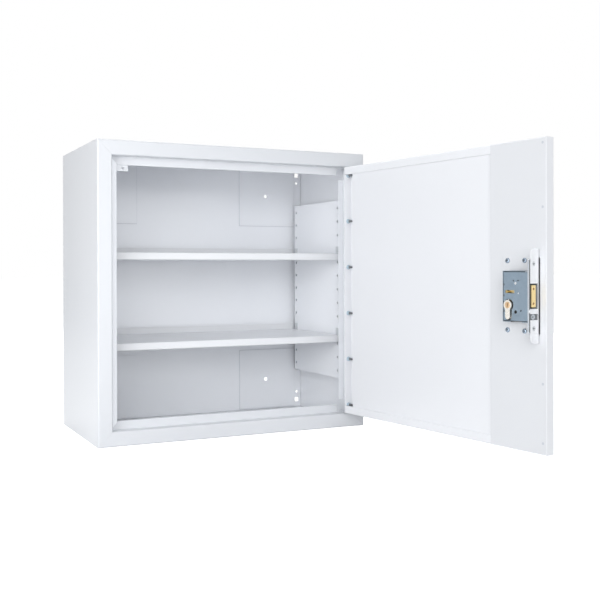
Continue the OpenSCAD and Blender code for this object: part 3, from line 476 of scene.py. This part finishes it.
def piece(name, solids, nodes, material, edge=0.0, sharp=35.0):
    """One object made of closed solids, each as points in millimetres and faces. The doubled
    points of each solid are merged and its faces turned outwards."""
    starts = np.cumsum([0] + [len(points) for points, _ in solids])
    points = np.concatenate([points for points, _ in solids]) * MM
    faces = [[corner + start for corner in face]
             for start, (_, group) in zip(starts, solids) for face in group]
    mesh = bpy.data.meshes.new(name)
    mesh.from_pydata(points, [], faces)
    work = bmesh.new()
    work.from_mesh(mesh)
    corners = list(work.verts)
    for start, end in zip(starts, starts[1:]):
        bmesh.ops.remove_doubles(work, verts=corners[start:end], dist=1e-6)
    bmesh.ops.recalc_face_normals(work, faces=work.faces)
    work.to_mesh(mesh)
    work.free()
    return dress(name, mesh, nodes, material, edge, sharp)


# %% [markdown]
# ## The casing
#
# Each side of the casing is one sheet: a flange for the back, the wall, the face of the front
# frame, a return and, except beside the hinge, a stop for the door. The four sheets meet at 45
# degrees, and their seams are welded and ground smooth before painting.

# %% Draw the bent lines of the sides
SHEET, FOLD = 2.0, 1.0                    # thickness, and the radius inside a fold
SIZE, DEPTH = 600.0, 300.0                # width and height, and depth
HALF, FRONT = SIZE / 2, -DEPTH / 2
REAR_FLANGE, FACE_W = 8.0, 30.0
RECESS, HINGE_RETURN = 20.5, 50.0         # how deep the returns are
SIDE_STOP, END_STOP = 14.0, 17.0          # how far the stops reach inwards
STOP_END = 243.0                          # x at which the top's and the base's stops end
mid = SHEET / 2


def casing_line(return_to, stop):
    """The bent line of a side, from the rear flange forwards, as distances from the outer wall
    and from the front: flange, wall, face, return and stop."""
    line = [(REAR_FLANGE, DEPTH - mid), (mid, DEPTH - mid), (mid, mid), (FACE_W - mid, mid),
            (FACE_W - mid, return_to)]
    if stop:
        line[-1] = (FACE_W - mid, return_to + mid)
        line.append((FACE_W + stop, return_to + mid))
    return rounded(line, FOLD + mid)


side_lines = (casing_line(RECESS, SIDE_STOP), casing_line(HINGE_RETURN, 0),
              casing_line(RECESS, END_STOP))
side_outline, hinge_outline, end_outline = (sheet_section(line, SHEET) for line in side_lines)
print("flat widths of the left side, the right side, and the top and base:",
      [round(flat_width(line)) for line in side_lines], "mm")

# %% [markdown]
# Beside the hinge, the stops of the top and the base end short, so that the door's leaf finds
# room there. All other points of a section run on to the mitre.

# %% Carry the sections round the casing
inward = end_outline[:, 0]
stop_part = (end_outline[:, 1] > RECESS - mid) & (inward > FACE_W - SHEET - 0.01)
right_end = np.where(stop_part, STOP_END + HALF, SIZE - inward)
sides = {
    "left_side": bar(side_outline, side_outline[:, 0], SIZE - side_outline[:, 0],
                     lambda a, b, s: room(a - HALF, FRONT + b, s)),
    "right_side": bar(hinge_outline, hinge_outline[:, 0], SIZE - hinge_outline[:, 0],
                      lambda a, b, s: room(HALF - a, FRONT + b, s)),
    "base_panel": bar(end_outline, inward, right_end,
                      lambda a, b, s: room(s - HALF, FRONT + b, a)),
    "top_panel": bar(end_outline, inward, right_end,
                     lambda a, b, s: room(s - HALF, FRONT + b, SIZE - a)),
}
print("sheets:", {node: len(faces) for node, (_, faces) in sides.items()}, "faces")

# %% [markdown]
# The cabinet is sprayed with one paint, but a coat inside a white box looks lighter, because
# light goes to and fro between the walls. A few bounces of light don't show all of it, so the
# inside has a lighter coat than the outside. A test of the middle of each face picks the coat.

# %% Paint the casing outside and inside


def repaint(made, *coats):
    """More materials for a piece. Each coat is a material and a test of (x, y, z) in millimetres,
    the middle of a face; a later coat covers an earlier one."""
    mesh = made.data
    centre = np.empty(len(mesh.polygons) * 3)
    mesh.polygons.foreach_get("center", centre)
    index = np.zeros(len(mesh.polygons), np.int32)
    for number, (material, where) in enumerate(coats, 1):
        index[where(*(centre.reshape(-1, 3).T / MM))] = number
        mesh.materials.append(material)
    mesh.polygons.foreach_set("material_index", index)
    print(made.name, "faces in each material:", np.bincount(index).tolist())


def inside_casing(x, y, z):
    """True inside the walls and behind the stops, and on the lock side's return and stop too."""
    depth = np.where(x < 2 * FACE_W - HALF, SHEET - 0.5, RECESS + mid)
    inner = HALF - 0.75 * SHEET
    return (abs(x) < inner) & (abs(z - HALF) < inner) & (y > FRONT + depth) & (y < -FRONT - mid)


for node, solid in sides.items():
    repaint(piece(node + "_sheet", [solid], [node], case_paint, edge=0.5),
            (inner_paint, inside_casing))

# %% [markdown]
# ## The shelves and their clips
#
# A shelf is a tray folded from thinner sheet: a front lip with a hem turned under it, the
# deck, and an upstand along the back. The hem is cut back at its two ends to clear the
# clips. Below the deck, a flange stiffens each end between the clips. The deck looks up into
# the light and gets the lighter coat.

# %% Draw a shelf's bent line
SHELF_SHEET = 1.2
SHELF_FRONT, SHELF_BACK = FRONT + 57.5, FRONT + 289.0
SHELF_HALF = 272.0                        # half the shelf's length
LIP, HEM, UPSTAND = 15.5, 8.0, 14.5
HEM_CUT, PAST_HEM_FOLD = 11.8, 1.9
thin = SHELF_SHEET / 2
deck_end = SHELF_BACK - SHELF_FRONT - thin
shelf_line = rounded([(HEM, thin - LIP), (thin, thin - LIP), (thin, -thin), (deck_end, -thin),
                      (deck_end, UPSTAND)], FOLD + thin)
shelf_outline = sheet_section(shelf_line, SHELF_SHEET)
hem_part = ((shelf_outline[:, 1] < PAST_HEM_FOLD - LIP) & (shelf_outline[:, 0] > PAST_HEM_FOLD))
shelf_end = SHELF_HALF - np.where(hem_part, HEM_CUT, 0)
print("flat width of a shelf:", round(flat_width(shelf_line)), "mm")

# %% Fold the shelves
CLIP_ROWS, CLIP_W = (FRONT + 70.0, FRONT + 273.0), 14.0
FLANGE_LOW, CLIP_PLAY, DECK_RIM = -12.0, 2.0, 3.0
flange_from, flange_to = (CLIP_ROWS[0] + CLIP_W / 2 + CLIP_PLAY,
                          CLIP_ROWS[1] - CLIP_W / 2 - CLIP_PLAY)
for node in ("upper_shelf", "lower_shelf"):
    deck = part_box(node)[1].z / MM - UPSTAND
    flanges = [bar(box_outline(side * (SHELF_HALF - SHELF_SHEET), side * SHELF_HALF, FLANGE_LOW,
                               -SHELF_SHEET),
                   flange_from, flange_to, lambda x, z, s: room(x, s, deck + z))
               for side in (-1, 1)]
    shelf = bar(shelf_outline, -shelf_end, shelf_end,
                lambda y, z, s: room(s, SHELF_FRONT + y, deck + z))
    repaint(piece(node + "_tray", [shelf, *flanges], [node], stile_paint, edge=0.25),
            (door_paint, lambda x, y, z: ((z > deck - 0.1) & (y > SHELF_FRONT + DECK_RIM)
                                          & (y < SHELF_BACK - DECK_RIM))))

# %% [markdown]
# A clip is a small plated angle. A peg riveted to it drops into a hole of the liner, and its
# foot carries the shelf.

# %% Turn a profile


def rings(r, h, place, closed=False):
    """A surface through rings about an axis: row i of r and h holds the radius and the height at
    each spoke's angle a, for the point (r cos a, r sin a, h). place(x, y, h) puts it in the
    room. closed joins the last ring to the first."""
    r, h = np.broadcast_arrays(np.asarray(r, float), np.asarray(h, float))
    count, spokes = r.shape
    angle = np.arange(spokes) * FULL_TURN / spokes
    points = place(r * np.cos(angle), r * np.sin(angle), h).reshape(-1, 3)
    i = np.arange(count if closed else count - 1)[:, None]
    j, k = np.arange(spokes), (np.arange(spokes) + 1) % spokes
    low, high = i * spokes, (i + 1) % count * spokes
    return points, np.stack([low + j, low + k, high + k, high + j], -1).reshape(-1, 4).tolist()


def turned(profile, place, spokes=32, closed=False):
    """A solid of revolution: the profile (r, h) turned about the axis r = 0."""
    r, h = np.asarray(profile, float).T
    return rings(np.repeat(r[:, None], spokes, 1), h[:, None], place, closed)


def rod_profile(r, low, high, edge=0.3):
    """A round bar from low to high, its two rims chamfered by edge."""
    return [(0, low), (r - edge, low), (r, low + edge),
            (r, high - edge), (r - edge, high), (0, high)]


print("a turned peg has", len(turned(rod_profile(2.8, 0, 5), room)[1]), "faces")

# %% Bend the clips
LINER_X = 274.0
CLIP_LEDGE, PEG_R = 11.0, 2.8
PEG_FROM, PEG_TO, PEG_BELOW_TOP = -4.0, 0.6, 4.8
for node in ("upper_shelf_clips", "lower_shelf_clips"):
    foot, top = (corner.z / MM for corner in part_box(node))
    line = rounded([(CLIP_LEDGE, thin), (thin, thin), (thin, top - foot)], FOLD + thin)
    outline = sheet_section(line, SHELF_SHEET)
    clips = []
    for side in (-1, 1):
        for y in CLIP_ROWS:
            clips.append(bar(outline, y - CLIP_W / 2, y + CLIP_W / 2,
                             lambda p, q, s: room(side * (LINER_X - p), s, foot + q)))
            clips.append(turned(
                rod_profile(PEG_R, PEG_FROM, PEG_TO),
                lambda a, b, h: room(side * (LINER_X - h), y + a, top - PEG_BELOW_TOP + b), 20))
    piece(node + "_bent", clips, [node], clip_zinc, edge=0.3)

# %% [markdown]
# ## The piano hinge
#
# The hinge runs the full height of the door. Each leaf is cut into fingers, and every finger is
# rolled round the pin to make a knuckle. A rolled finger is a sheet too: its middle line is
# straight, then a small jog, then three quarters of a circle.

# %% Draw a leaf and its roll
PIN_R, KNUCKLE_R, LEAF = 1.5, 3.0, 1.4
KNUCKLES, KNUCKLE_GAP = 21, 0.4
HINGE_LOW, HINGE_HIGH = 34.0, 566.0
LEAF_P, LEAF_FROM, LEAF_TO = 0.9, 5.2, 22.3     # the flat leaf's place beside the axis
JOG = [(LEAF_P, LEAF_FROM), (1.0, 4.4), (1.6, 2.6)]
ROLL_FROM, ROLL_TO = 8, -262                    # degrees round the pin
roll_r = KNUCKLE_R - LEAF / 2
turn = np.radians(np.linspace(ROLL_FROM, ROLL_TO, 28))
roll = np.concatenate([JOG, np.stack([roll_r * np.cos(turn), roll_r * np.sin(turn)], 1)])
knuckle_outline = sheet_section(roll, LEAF)
leaf_outline = box_outline(LEAF_P - LEAF / 2, LEAF_P + LEAF / 2, LEAF_FROM, LEAF_TO)
pitch = (HINGE_HIGH - HINGE_LOW) / KNUCKLES
print(f"a knuckle every {pitch:.2f} mm, rolled from {flat_width(roll):.1f} mm of sheet")

# %% Roll the hinge


def leaf_solids(first, place):
    """One leaf and every second knuckle of it, from the knuckle with the number first."""
    solids = [bar(leaf_outline, HINGE_LOW, HINGE_HIGH, place, paired=False)]
    for i in range(first, KNUCKLES, 2):
        bottom = HINGE_LOW + i * pitch + KNUCKLE_GAP / 2
        solids.append(bar(knuckle_outline, bottom, bottom + pitch - KNUCKLE_GAP, place))
    return solids


def on_frame_leaf(p, q, s):
    """Hinge coordinates: p away from the door's leaf and q backwards from the axis."""
    return room(HINGE_X + p, HINGE_Y + q, s)


def on_door_leaf(p, q, s):
    """The same for the leaf on the door, mirrored and turned with the door."""
    c, n = math.cos(OPEN_ANGLE), math.sin(OPEN_ANGLE)
    return room(HINGE_X - p * c - q * n, HINGE_Y - p * n + q * c, s)


piece("frame_leaf_rolled", leaf_solids(0, on_frame_leaf), ["hinge_frame_leaf"], bright_steel,
      edge=0.2)
piece("door_leaf_rolled", leaf_solids(1, on_door_leaf), ["hinge_door_leaf"], bright_steel,
      edge=0.2)

# %% [markdown]
# The pin is cut a little longer than the hinge, and its two ends are hammered into flat heads,
# which keep it in place.

# %% Turn the hinge's pin
HEAD_R, HEAD_H, HEAD_EDGE = 2.8, 1.0, (0.6, 0.8)
half_pin = [(0, HEAD_H), (HEAD_R - HEAD_EDGE[0], HEAD_EDGE[1]), (HEAD_R, HEAD_H - HEAD_EDGE[1]),
            (HEAD_R, 0), (PIN_R, 0)]
pin = ([(r, HINGE_LOW - h) for r, h in half_pin]
       + [(r, HINGE_HIGH + h) for r, h in reversed(half_pin)])
piece("hinge_pin_headed",
      [turned(pin, lambda a, b, h: room(HINGE_X + a, HINGE_Y + b, h), 24)],
      ["hinge_pin"], bright_steel)

# %% [markdown]
# ## The door
#
# The door is a shallow tray of sheet, open inwards. Its top and bottom edges are folded twice
# and end in a hem, the doubled lip that frames the inner panel. The tray is drawn as four edges
# with mitred corners round a flat middle, so that every fold keeps its round.

# %% Draw the door's edges
DOOR_W, DOOR_LOW, DOOR_HIGH, DOOR_T = 534.8, 32.0, 568.0, 20.0
LIP_W, LIP_T = 17.0, 3.0
LIP_V = DOOR_T - LIP_T                    # the depth at which the lips begin
STILE_U = 412.8                           # where the lips end and the lock's flush plate begins
RIM = 25.0                                # width of each drawn edge, with its strip of skin
SKIN_FOLD, EASE = FOLD + SHEET, 0.8
EDGE_R, HEM_R, HEM_IN_R, LIP_IN_R = 0.4, 1.5, 1.45, 0.3
plain_edge = rounded([(0, 0), (0, DOOR_T), (SHEET, DOOR_T), (SHEET, SHEET), (RIM, SHEET), (RIM, 0)],
                     [SKIN_FOLD, EDGE_R, EDGE_R, FOLD, 0, 0], closed=True, ease=EASE)
lipped_edge = rounded([(0, 0), (0, DOOR_T), (LIP_W, DOOR_T), (LIP_W, LIP_V), (SHEET, LIP_V),
                       (SHEET, SHEET), (RIM, SHEET), (RIM, 0)],
                      [SKIN_FOLD, SKIN_FOLD, HEM_R, HEM_IN_R, LIP_IN_R, FOLD, 0, 0],
                      closed=True, ease=EASE)
print("a plain edge has", len(plain_edge), "points and a lipped one", len(lipped_edge))

# %% [markdown]
# The two upright edges run from mitre to mitre. The top and the bottom edge are each drawn in
# two lengths: the lip ends at the stile, and from there the edge is a plain one. The door's
# outer face is painted like the casing's outside.

# %% Fold the door's tray
OUTSIDE_V = 1.2
door_tall = DOOR_HIGH - DOOR_LOW
upright = plain_edge[:, 0], door_tall - plain_edge[:, 0]
tray = [
    bar(plain_edge, *upright, lambda a, v, s: on_door(a, v, DOOR_LOW + s), False),
    bar(plain_edge, *upright, lambda a, v, s: on_door(DOOR_W - a, v, DOOR_LOW + s), False),
    bar(box_outline(RIM, DOOR_W - RIM, 0, SHEET), DOOR_LOW + RIM, DOOR_HIGH - RIM, on_door, False)]
lip_start = np.where(lipped_edge[:, 1] > LIP_V - 0.5, 0, lipped_edge[:, 0])
for along_door in (lambda a, v, s: on_door(s, v, DOOR_LOW + a),
                   lambda a, v, s: on_door(s, v, DOOR_HIGH - a)):
    tray.append(bar(lipped_edge, lip_start, STILE_U, along_door, False))
    tray.append(bar(plain_edge, STILE_U, DOOR_W - plain_edge[:, 0], along_door, False))
repaint(piece("door_tray", tray, ["door_skin"], door_paint),
        (case_paint, door_test(lambda u, v, z: v < OUTSIDE_V)))

# %% [markdown]
# The inner panel lies under the lips. Beside the hinge it is folded down to the skin and leaves
# a channel, in which the hinge's nuts can be reached.

# %% Fit the inner panel
INNER_T, CHANNEL, UNDER_STILE = 1.2, 23.0, 15.0
panel_u, panel_v = CHANNEL + INNER_T / 2, LIP_V - INNER_T / 2
inner_line = rounded([(STILE_U + UNDER_STILE, panel_v), (panel_u, panel_v), (panel_u, SHEET)],
                     FOLD + INNER_T / 2)
inner_panel = bar(sheet_section(inner_line, INNER_T), DOOR_LOW + SHEET, DOOR_HIGH - SHEET, on_door)
piece("inner_panel", [inner_panel], ["door_liner"], door_paint, edge=0.2)
print("flat width of the inner panel:", round(flat_width(inner_line)), "mm")

# %% [markdown]
# ## Pieces that only need worked edges
#
# A plate that was punched, drilled or milled already has its right outline in the CAD model.
# What it lacks is the small broken edge that every real plate has, which catches a line of
# light. Such a piece starts as a merged copy of its CAD node: triangles that lie in one plane
# become one face, and then the sharp edges are broken.

# %% Copy a node and break its edges
FLAT_WITHIN = 0.4                         # degrees between faces that count as one plane


def worked(node, edge, material=None, sharp=32.0):
    """A merged copy of a CAD node with its sharp edges broken by edge millimetres."""
    mesh = frame["nodes"][node].data.copy()
    work = bmesh.new()
    work.from_mesh(mesh)
    bmesh.ops.remove_doubles(work, verts=work.verts, dist=1e-6)
    bmesh.ops.dissolve_limit(work, angle_limit=math.radians(FLAT_WITHIN), verts=work.verts,
                             edges=work.edges)
    work.to_mesh(mesh)
    work.free()
    return dress(node + "_worked", mesh, [node], material or FINISHES[slot_of[node]], edge, sharp)


print("the CAD's deadbolt has", len(frame["nodes"]["deadbolt"].data.polygons), "triangles")

# %% [markdown]
# The lock's plates get painted shade on some of their sides. The bracket is one painted angle in
# two copies of its coat: the upstand in the lighter one, and the foot, which lies on the stile, in
# the stile's darker coat as painted shade. The forend is dull and painted dark on its outer face
# and round the bolt, as the shade inside the bracket's window, and the walls of the lock's case
# are painted dark, as the shade in the gaps round its cover.

# %% Work the plates of the lock
CASE_V, COVER_V, BRACKET_V = 27.0, 39.8, 22.0       # the case's floor and rim, the foot's face
BOLT_Z, BOLT_V = 300.0, 34.0                        # the middle of the bolt
FOREND_U, PLATE_U = 518.0, 520.0                    # outer faces of forend and bracket
MOUTH_V, MOUTH_HALF = (26.0, 42.0), 21.0            # the opening round the bolt
worked("lock_stile", 0.25, stile_paint)
repaint(worked("lock_bracket", 0.3, door_paint),
        (stile_paint, door_test(lambda u, v, z: v < BRACKET_V + 1.5)))
repaint(worked("lock_forend", 0.35, forend_steel),
        (bare_steel_and_shade, door_test(lambda u, v, z: (
            (u > FOREND_U - 0.1)
            | (abs(z - BOLT_Z) < MOUTH_HALF) & (v > MOUTH_V[0]) & (v < MOUTH_V[1])))))
repaint(worked("lock_case", 0.2),
        (bare_steel_and_shade, door_test(lambda u, v, z: (v > CASE_V + 1) & (v < COVER_V))))

# %% Work the other plates
BROKEN_EDGES = {"lock_cover": 0.2, "cylinder_body": 0.25, "cylinder_cam": 0.25,
                "deadbolt": 1.0, "bolt_keep": 0.4, "hinge_stop": 0.3, "corner_tab": 0.25,
                "back_panel": 0.3, "door_stiffener": 0.3, "escutcheon": 0.8,
                "case_rivets": 0.2}
# The hinge stop takes the inside's lighter coat, as painted light on that narrow strip.
for node, edge in BROKEN_EDGES.items():
    worked(node, edge, inner_paint if node == "hinge_stop" else None)

# %% [markdown]
# The liners are painted on the side that faces the shelves. Their backs are painted grey, as
# painted shade in the narrow space behind them, so the holes look dark. The four plates behind
# the wall fixings are welded on at their rims, and a fine grey strip runs round three of them as
# painted shade along their edges. The lower plate on the lock side has no such strip.

# %% Dress the liners and the wall plates
# The liners' backs are painted grey, as painted shade in the space behind them.
for node in ("left_liner", "right_liner"):
    repaint(worked(node, 0.15, inner_paint),
            (shade_and_weld_grey, lambda x, y, z: abs(x) > LINER_X + 0.3))
# A plate's painted shade line: its width, and how far it stands out from the plate.
SHADE_LINE_W, SHADE_LINE_RISE = 0.9, 0.35
PLATE_WITHOUT_SHADE_LINE = "wall_plate_bottom_left"
for node in [name for name in body_of if name.startswith("wall_plate")]:
    worked(node, 0.3, inner_paint)
    if node == PLATE_WITHOUT_SHADE_LINE:
        continue
    (x0, _, z0), (x1, y1, z1) = (np.array(corner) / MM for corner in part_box(node))
    strips = [box_outline(x0 - SHADE_LINE_W, x1 + SHADE_LINE_W, z0 - SHADE_LINE_W, z0),
              box_outline(x0 - SHADE_LINE_W, x1 + SHADE_LINE_W, z1, z1 + SHADE_LINE_W),
              box_outline(x0 - SHADE_LINE_W, x0, z0, z1), box_outline(x1, x1 + SHADE_LINE_W, z0, z1)]
    piece(node + "_shade_line", [bar(strip, y1 - SHADE_LINE_RISE, y1, lambda x, z, s: room(x, s, z), False)
                           for strip in strips], [node], shade_and_weld_grey)

# %% [markdown]
# ## Studs, washers and nuts
#
# The door hangs on six studs welded to the hinge leaf. A thread is a groove that runs round the
# bar as it climbs, so its radius depends on both the angle and the height. A nut is a
# hexagon whose corners are cut by a cone, so each of its points takes the smaller of two radii.

# %% Cut threads and nuts
THREAD_DEPTH, TIP = 0.54, 0.82            # shares of the pitch and of the radius


def threaded(r, low, high, pitch, place, spokes=24, rows_each=5):
    """A threaded bar: the radius is r less a groove, which is THREAD_DEPTH of the pitch times a
    triangle wave of (height / pitch - angle / full turn), and it tapers to TIP at both ends."""
    rows = int((high - low) / pitch * rows_each) + 1
    h = np.linspace(low, high, rows)[:, None]
    wave = (h / pitch - np.arange(spokes) / spokes) % 1.0
    groove = THREAD_DEPTH * pitch * (1 - np.abs(2 * wave - 1))
    taper = np.minimum(np.minimum(h - low, high - h) / pitch, 1.0)
    body = (r - groove) * (TIP + (1 - TIP) * taper)
    return rings(np.vstack([0 * body[:1], body, 0 * body[:1]]), np.vstack([h[:1], h, h[-1:]]),
                 place)


def hexagon_nut(across, bore, low, high, place, spokes=48, cut=0.45, sink=0.4, set_in=0.1):
    """A nut: its radius is the hexagon's, half across over the cosine of the angle to the nearest
    flat's middle, but on its two faces no more than a cone that stays set_in inside the flats.
    The bore is widened by sink at both ends."""
    angle = np.arange(spokes) * FULL_TURN / spokes
    flat = across / 2 / np.cos((angle % (math.pi / 3)) - math.pi / 6)
    cone = np.minimum(flat, across / 2 - set_in)
    full = np.full(spokes, float(bore))
    wide = full + sink
    r = np.stack([full, wide, cone, flat, flat, cone, wide, full])
    h = np.array([low + sink, low, low, low + cut, high - cut, high, high, high - sink])[:, None]
    return rings(r, h, place, closed=True)


def at_stud(z):
    """The place of a stud: its axis along u, from the hinge edge inwards."""
    return lambda a, b, h: on_door(h, STUD_V + a, z + b)


# %% Screw the nuts on
STUD_V, STUD_R, STUD_END = 11.0, 2.4, 15.0
STUD_PITCH, STUD_COUNT, STUD_EDGE = 0.8, 6, 16.0
NUT_ACROSS, NUT_BORE, NUT_U = 7.85, 2.5, (3.0, 6.9)
WASHER = [(2.6, 2.05), (4.7, 2.05), (4.9, 2.2), (4.9, 2.8), (4.7, 2.98), (2.6, 2.98)]
stud_span = HINGE_HIGH - HINGE_LOW - 2 * STUD_EDGE
stud_heights = HALF + (np.arange(STUD_COUNT) / (STUD_COUNT - 1) - 0.5) * stud_span
piece("studs_threaded",
      [threaded(STUD_R, 0.0, STUD_END, STUD_PITCH, at_stud(z)) for z in stud_heights],
      ["hinge_studs"], bare_steel_and_shade)
piece("washers_turned", [turned(WASHER, at_stud(z), 36, closed=True) for z in stud_heights],
      ["hinge_washers"], pale_zinc)
piece("nuts_chamfered",
      [hexagon_nut(NUT_ACROSS, NUT_BORE, *NUT_U, at_stud(z)) for z in stud_heights],
      ["hinge_nuts"], pale_zinc, sharp=25)
print("studs at", stud_heights.tolist())

# %% [markdown]
# ## Screws
#
# Screw heads are turned and then struck with a cross-shaped punch. The head's face is a height
# above a grid of rings and spokes, from which the cross is taken away.

# %% Strike a cross recess


def cross_recess(r, angle, arm, half, depth, slope=0.35):
    """Depth of the cross at (r, angle): full within half of either arm's middle line and
    inside arm of the centre, falling to nothing over a short slope."""
    x, y = np.abs(r * np.cos(angle)), np.abs(r * np.sin(angle))
    inside = [np.clip((half - across) / slope + 1, 0, 1) * np.clip((arm - along) / slope, 0, 1)
              for across, along in ((x, y), (y, x))]
    return depth * np.maximum(*inside)


def screw_head(skirt, rim, crown, arm, depth, place, half=0.42, spokes=48):
    """A screw from its tip to its face: skirt is the profile (r, h) up to the head's rim, and the
    face rises from there by crown, less the cross recess."""
    angle = np.arange(spokes) * FULL_TURN / spokes
    r_rim, h_rim = rim
    r = np.linspace(r_rim, 0, 15)[:, None]
    face = h_rim + crown * (1 - (r / r_rim) ** 2) - cross_recess(r, angle, arm, half, depth)
    skirt_r, skirt_h = np.asarray(skirt, float).T
    all_r = np.vstack([np.repeat(skirt_r[:, None], spokes, 1), np.repeat(r, spokes, 1)])
    all_h = np.vstack([np.repeat(skirt_h[:, None], spokes, 1), face])
    return rings(all_r, all_h, place)


# %% Make the pan-head screws
FOOT_U, FOOT_Z = (454.0, 491.0), 60.5
PAN_TIP, CROSS_R = 12.2, 2.7
foot_screws = [(u, BOLT_Z + z) for u in FOOT_U for z in (FOOT_Z, -FOOT_Z)]
pan_skirt = [(0, PAN_TIP), (2.0, PAN_TIP), (2.4, PAN_TIP + 0.5), (2.4, BRACKET_V),
             (4.2, BRACKET_V), (4.4, BRACKET_V + 0.2), (4.4, BRACKET_V + 1.1),
             (4.25, BRACKET_V + 1.5)]
pan_screws = [screw_head(pan_skirt, (3.9, BRACKET_V + 1.9), 0.7, 2.4, 1.3,
                         lambda a, b, h: on_door(u + a, h, z + b)) for u, z in foot_screws]


def in_recess(u, v, z):
    """True for the walls and floors of the crosses in the bracket's screws."""
    off_axis = np.hypot(np.abs(u[:, None] - FOOT_U).min(axis=1), abs(z - BOLT_Z) - FOOT_Z)
    return (off_axis < CROSS_R) & (v > BRACKET_V + 1) & (v < BRACKET_V + 2)


# The walls and floors of the crosses are painted dark, as painted shade in the recesses.
repaint(piece("pan_screws_struck", pan_screws, ["bracket_screws"], blue_steel, sharp=40),
        (bare_steel_and_shade, door_test(in_recess)))

# %% Make the countersunk screws
FOREND_SCREW_Z, FOREND_SCREW_L = 54.5, 11.0
CYLINDER_SCREW_Z, CYLINDER_SCREW_L = 265.0, 49.0


def countersunk(face, length, z):
    """A countersunk screw along u, its face flush at face."""
    tip = face - length
    skirt = [(0, tip), (1.8, tip), (2.4, tip + 0.8), (2.4, face - 2.0), (4.25, face - 0.15)]
    return screw_head(skirt, (4.3, face - 0.05), 0.03, 2.5, 1.2,
                      lambda a, b, h: on_door(h, BOLT_V + a, z + b))


def sunk_below(face):
    """A test for the walls and the floor of a cross struck into a flush face."""
    return door_test(lambda u, v, z: (u < face - 0.5) & (u > face - 1.4))


# The walls and floors of the crosses are painted dark, as painted shade in the recesses.
repaint(piece("forend_screws_struck", [countersunk(PLATE_U, FOREND_SCREW_L, BOLT_Z + z)
                                       for z in (FOREND_SCREW_Z, -FOREND_SCREW_Z)],
              ["forend_screws"], clip_zinc, sharp=40), (bare_steel_and_shade, sunk_below(PLATE_U)))
repaint(piece("cylinder_screw_struck", [countersunk(FOREND_U, CYLINDER_SCREW_L, CYLINDER_SCREW_Z)],
              ["cylinder_screw"], forend_steel, sharp=40), (bare_steel_and_shade, sunk_below(FOREND_U)))

# %% [markdown]
# ## The bolt's pins and the guide pin
#
# Two hard steel pins lie in the bolt, so that a saw that cuts the brass runs on them. Their
# ends show as small dots in the bolt's face.

# %% Turn the pins
BOLT_FACE, PIN_Z = 519.5, 12.5
HARD_PIN_R, HARD_PIN_L, PROUD = 1.98, 30.0, 0.02
GUIDE_U, GUIDE_Z = 468.5, 307.0
GUIDE = [(0, BOLT_V), (1.95, BOLT_V), (1.95, 37.0), (2.3, 37.0), (2.3, 40.4), (2.0, 40.7),
         (0, 40.7)]
hard_pin = rod_profile(HARD_PIN_R, BOLT_FACE - HARD_PIN_L, BOLT_FACE + PROUD, 0.15)
piece("hard_pins", [turned(hard_pin, lambda a, b, h: on_door(h, BOLT_V + a, BOLT_Z + z + b), 28)
                    for z in (PIN_Z, -PIN_Z)], ["bolt_pins"], bronze)
# The guide pin's brass is darkened, as painted shade in the slot of the lock's cover.
piece("guide_pin_turned",
      [turned(GUIDE, lambda a, b, h: on_door(GUIDE_U + a, h, GUIDE_Z + b), 28)],
      ["bolt_guide_pin"], shaded_brass)

# %% [markdown]
# ## The plugs
#
# The key turns a plug in each half of the cylinder. Its keyway is a narrow slot with a step
# in its side, so that only the right blank goes in. It is cut into the same rings and spokes as
# a screw's cross, but finer.

# %% Broach the keyway
CYLINDER_U, CYLINDER_Z, PLUG_R, PLUG_EDGE = 472.0, 284.0, 5.55, 0.3
SLOT_HALF, SLOT_LOW, SLOT_HIGH, SLOT_DEPTH = 0.62, -3.8, 3.2, 2.6
STEP, STEP_LENGTH, SLOT_WALL = 0.35, 0.4, 0.2


def keyway_depth(r, angle):
    """Depth of the slot at (r, angle): full where x is within a narrow band whose middle steps
    sideways with the height y, and y lies between the slot's two ends."""
    x, y = r * np.cos(angle), r * np.sin(angle)
    middle = STEP * np.tanh(y / STEP_LENGTH)
    band = np.clip((SLOT_HALF - np.abs(x - middle)) / SLOT_WALL, 0, 1)
    off_middle = np.abs(y - (SLOT_LOW + SLOT_HIGH) / 2)
    ends = np.clip(((SLOT_HIGH - SLOT_LOW) / 2 - off_middle) / SLOT_WALL, 0, 1)
    return SLOT_DEPTH * band * ends


def plug(low, high, spokes=96):
    """A plug from v = low to its face at v = high, the larger or the smaller of the two."""
    angle = np.arange(spokes) * FULL_TURN / spokes
    out = 1 if high > low else -1
    r = np.linspace(PLUG_R - PLUG_EDGE, 0, 30)[:, None]
    face = high - out * keyway_depth(r, angle)
    rim_r = np.array([0, PLUG_R, PLUG_R])[:, None] + 0 * angle
    rim_h = np.array([low, low, high - out * PLUG_EDGE])[:, None] + 0 * angle
    return rings(np.vstack([rim_r, r + 0 * angle]), np.vstack([rim_h, face]),
                 lambda a, b, h: on_door(CYLINDER_U + a, h, CYLINDER_Z + b))


piece("outer_plug", [plug(28.9, -4.4)], ["cylinder_plug"], plug_brass, sharp=40)
piece("inner_plug", [plug(39.1, 44.4)], ["cylinder_inner_plug"], plug_brass, sharp=40)

# %% [markdown]
# ## Spot welds
#
# Four spot welds hold the flush plate of the lock side to the door's edge. Their electrodes
# leave shallow round marks, which are drawn in grey.

# %% Mark the spot welds
WELD_U, WELD_HEIGHTS = 527.0, (559.0, 450.5, 152.0, 52.0)
weld_profile = [(r, DOOR_T + rise) for r, rise in (
    (0, -0.1), (2.2, -0.1), (2.4, 0.06), (2.2, 0.16), (1.5, 0.1), (0, 0.05))]
piece("weld_marks", [turned(weld_profile, lambda a, b, h: on_door(WELD_U + a, h, z + b), 24)
                     for z in WELD_HEIGHTS], ["lock_stile"], shade_and_weld_grey)
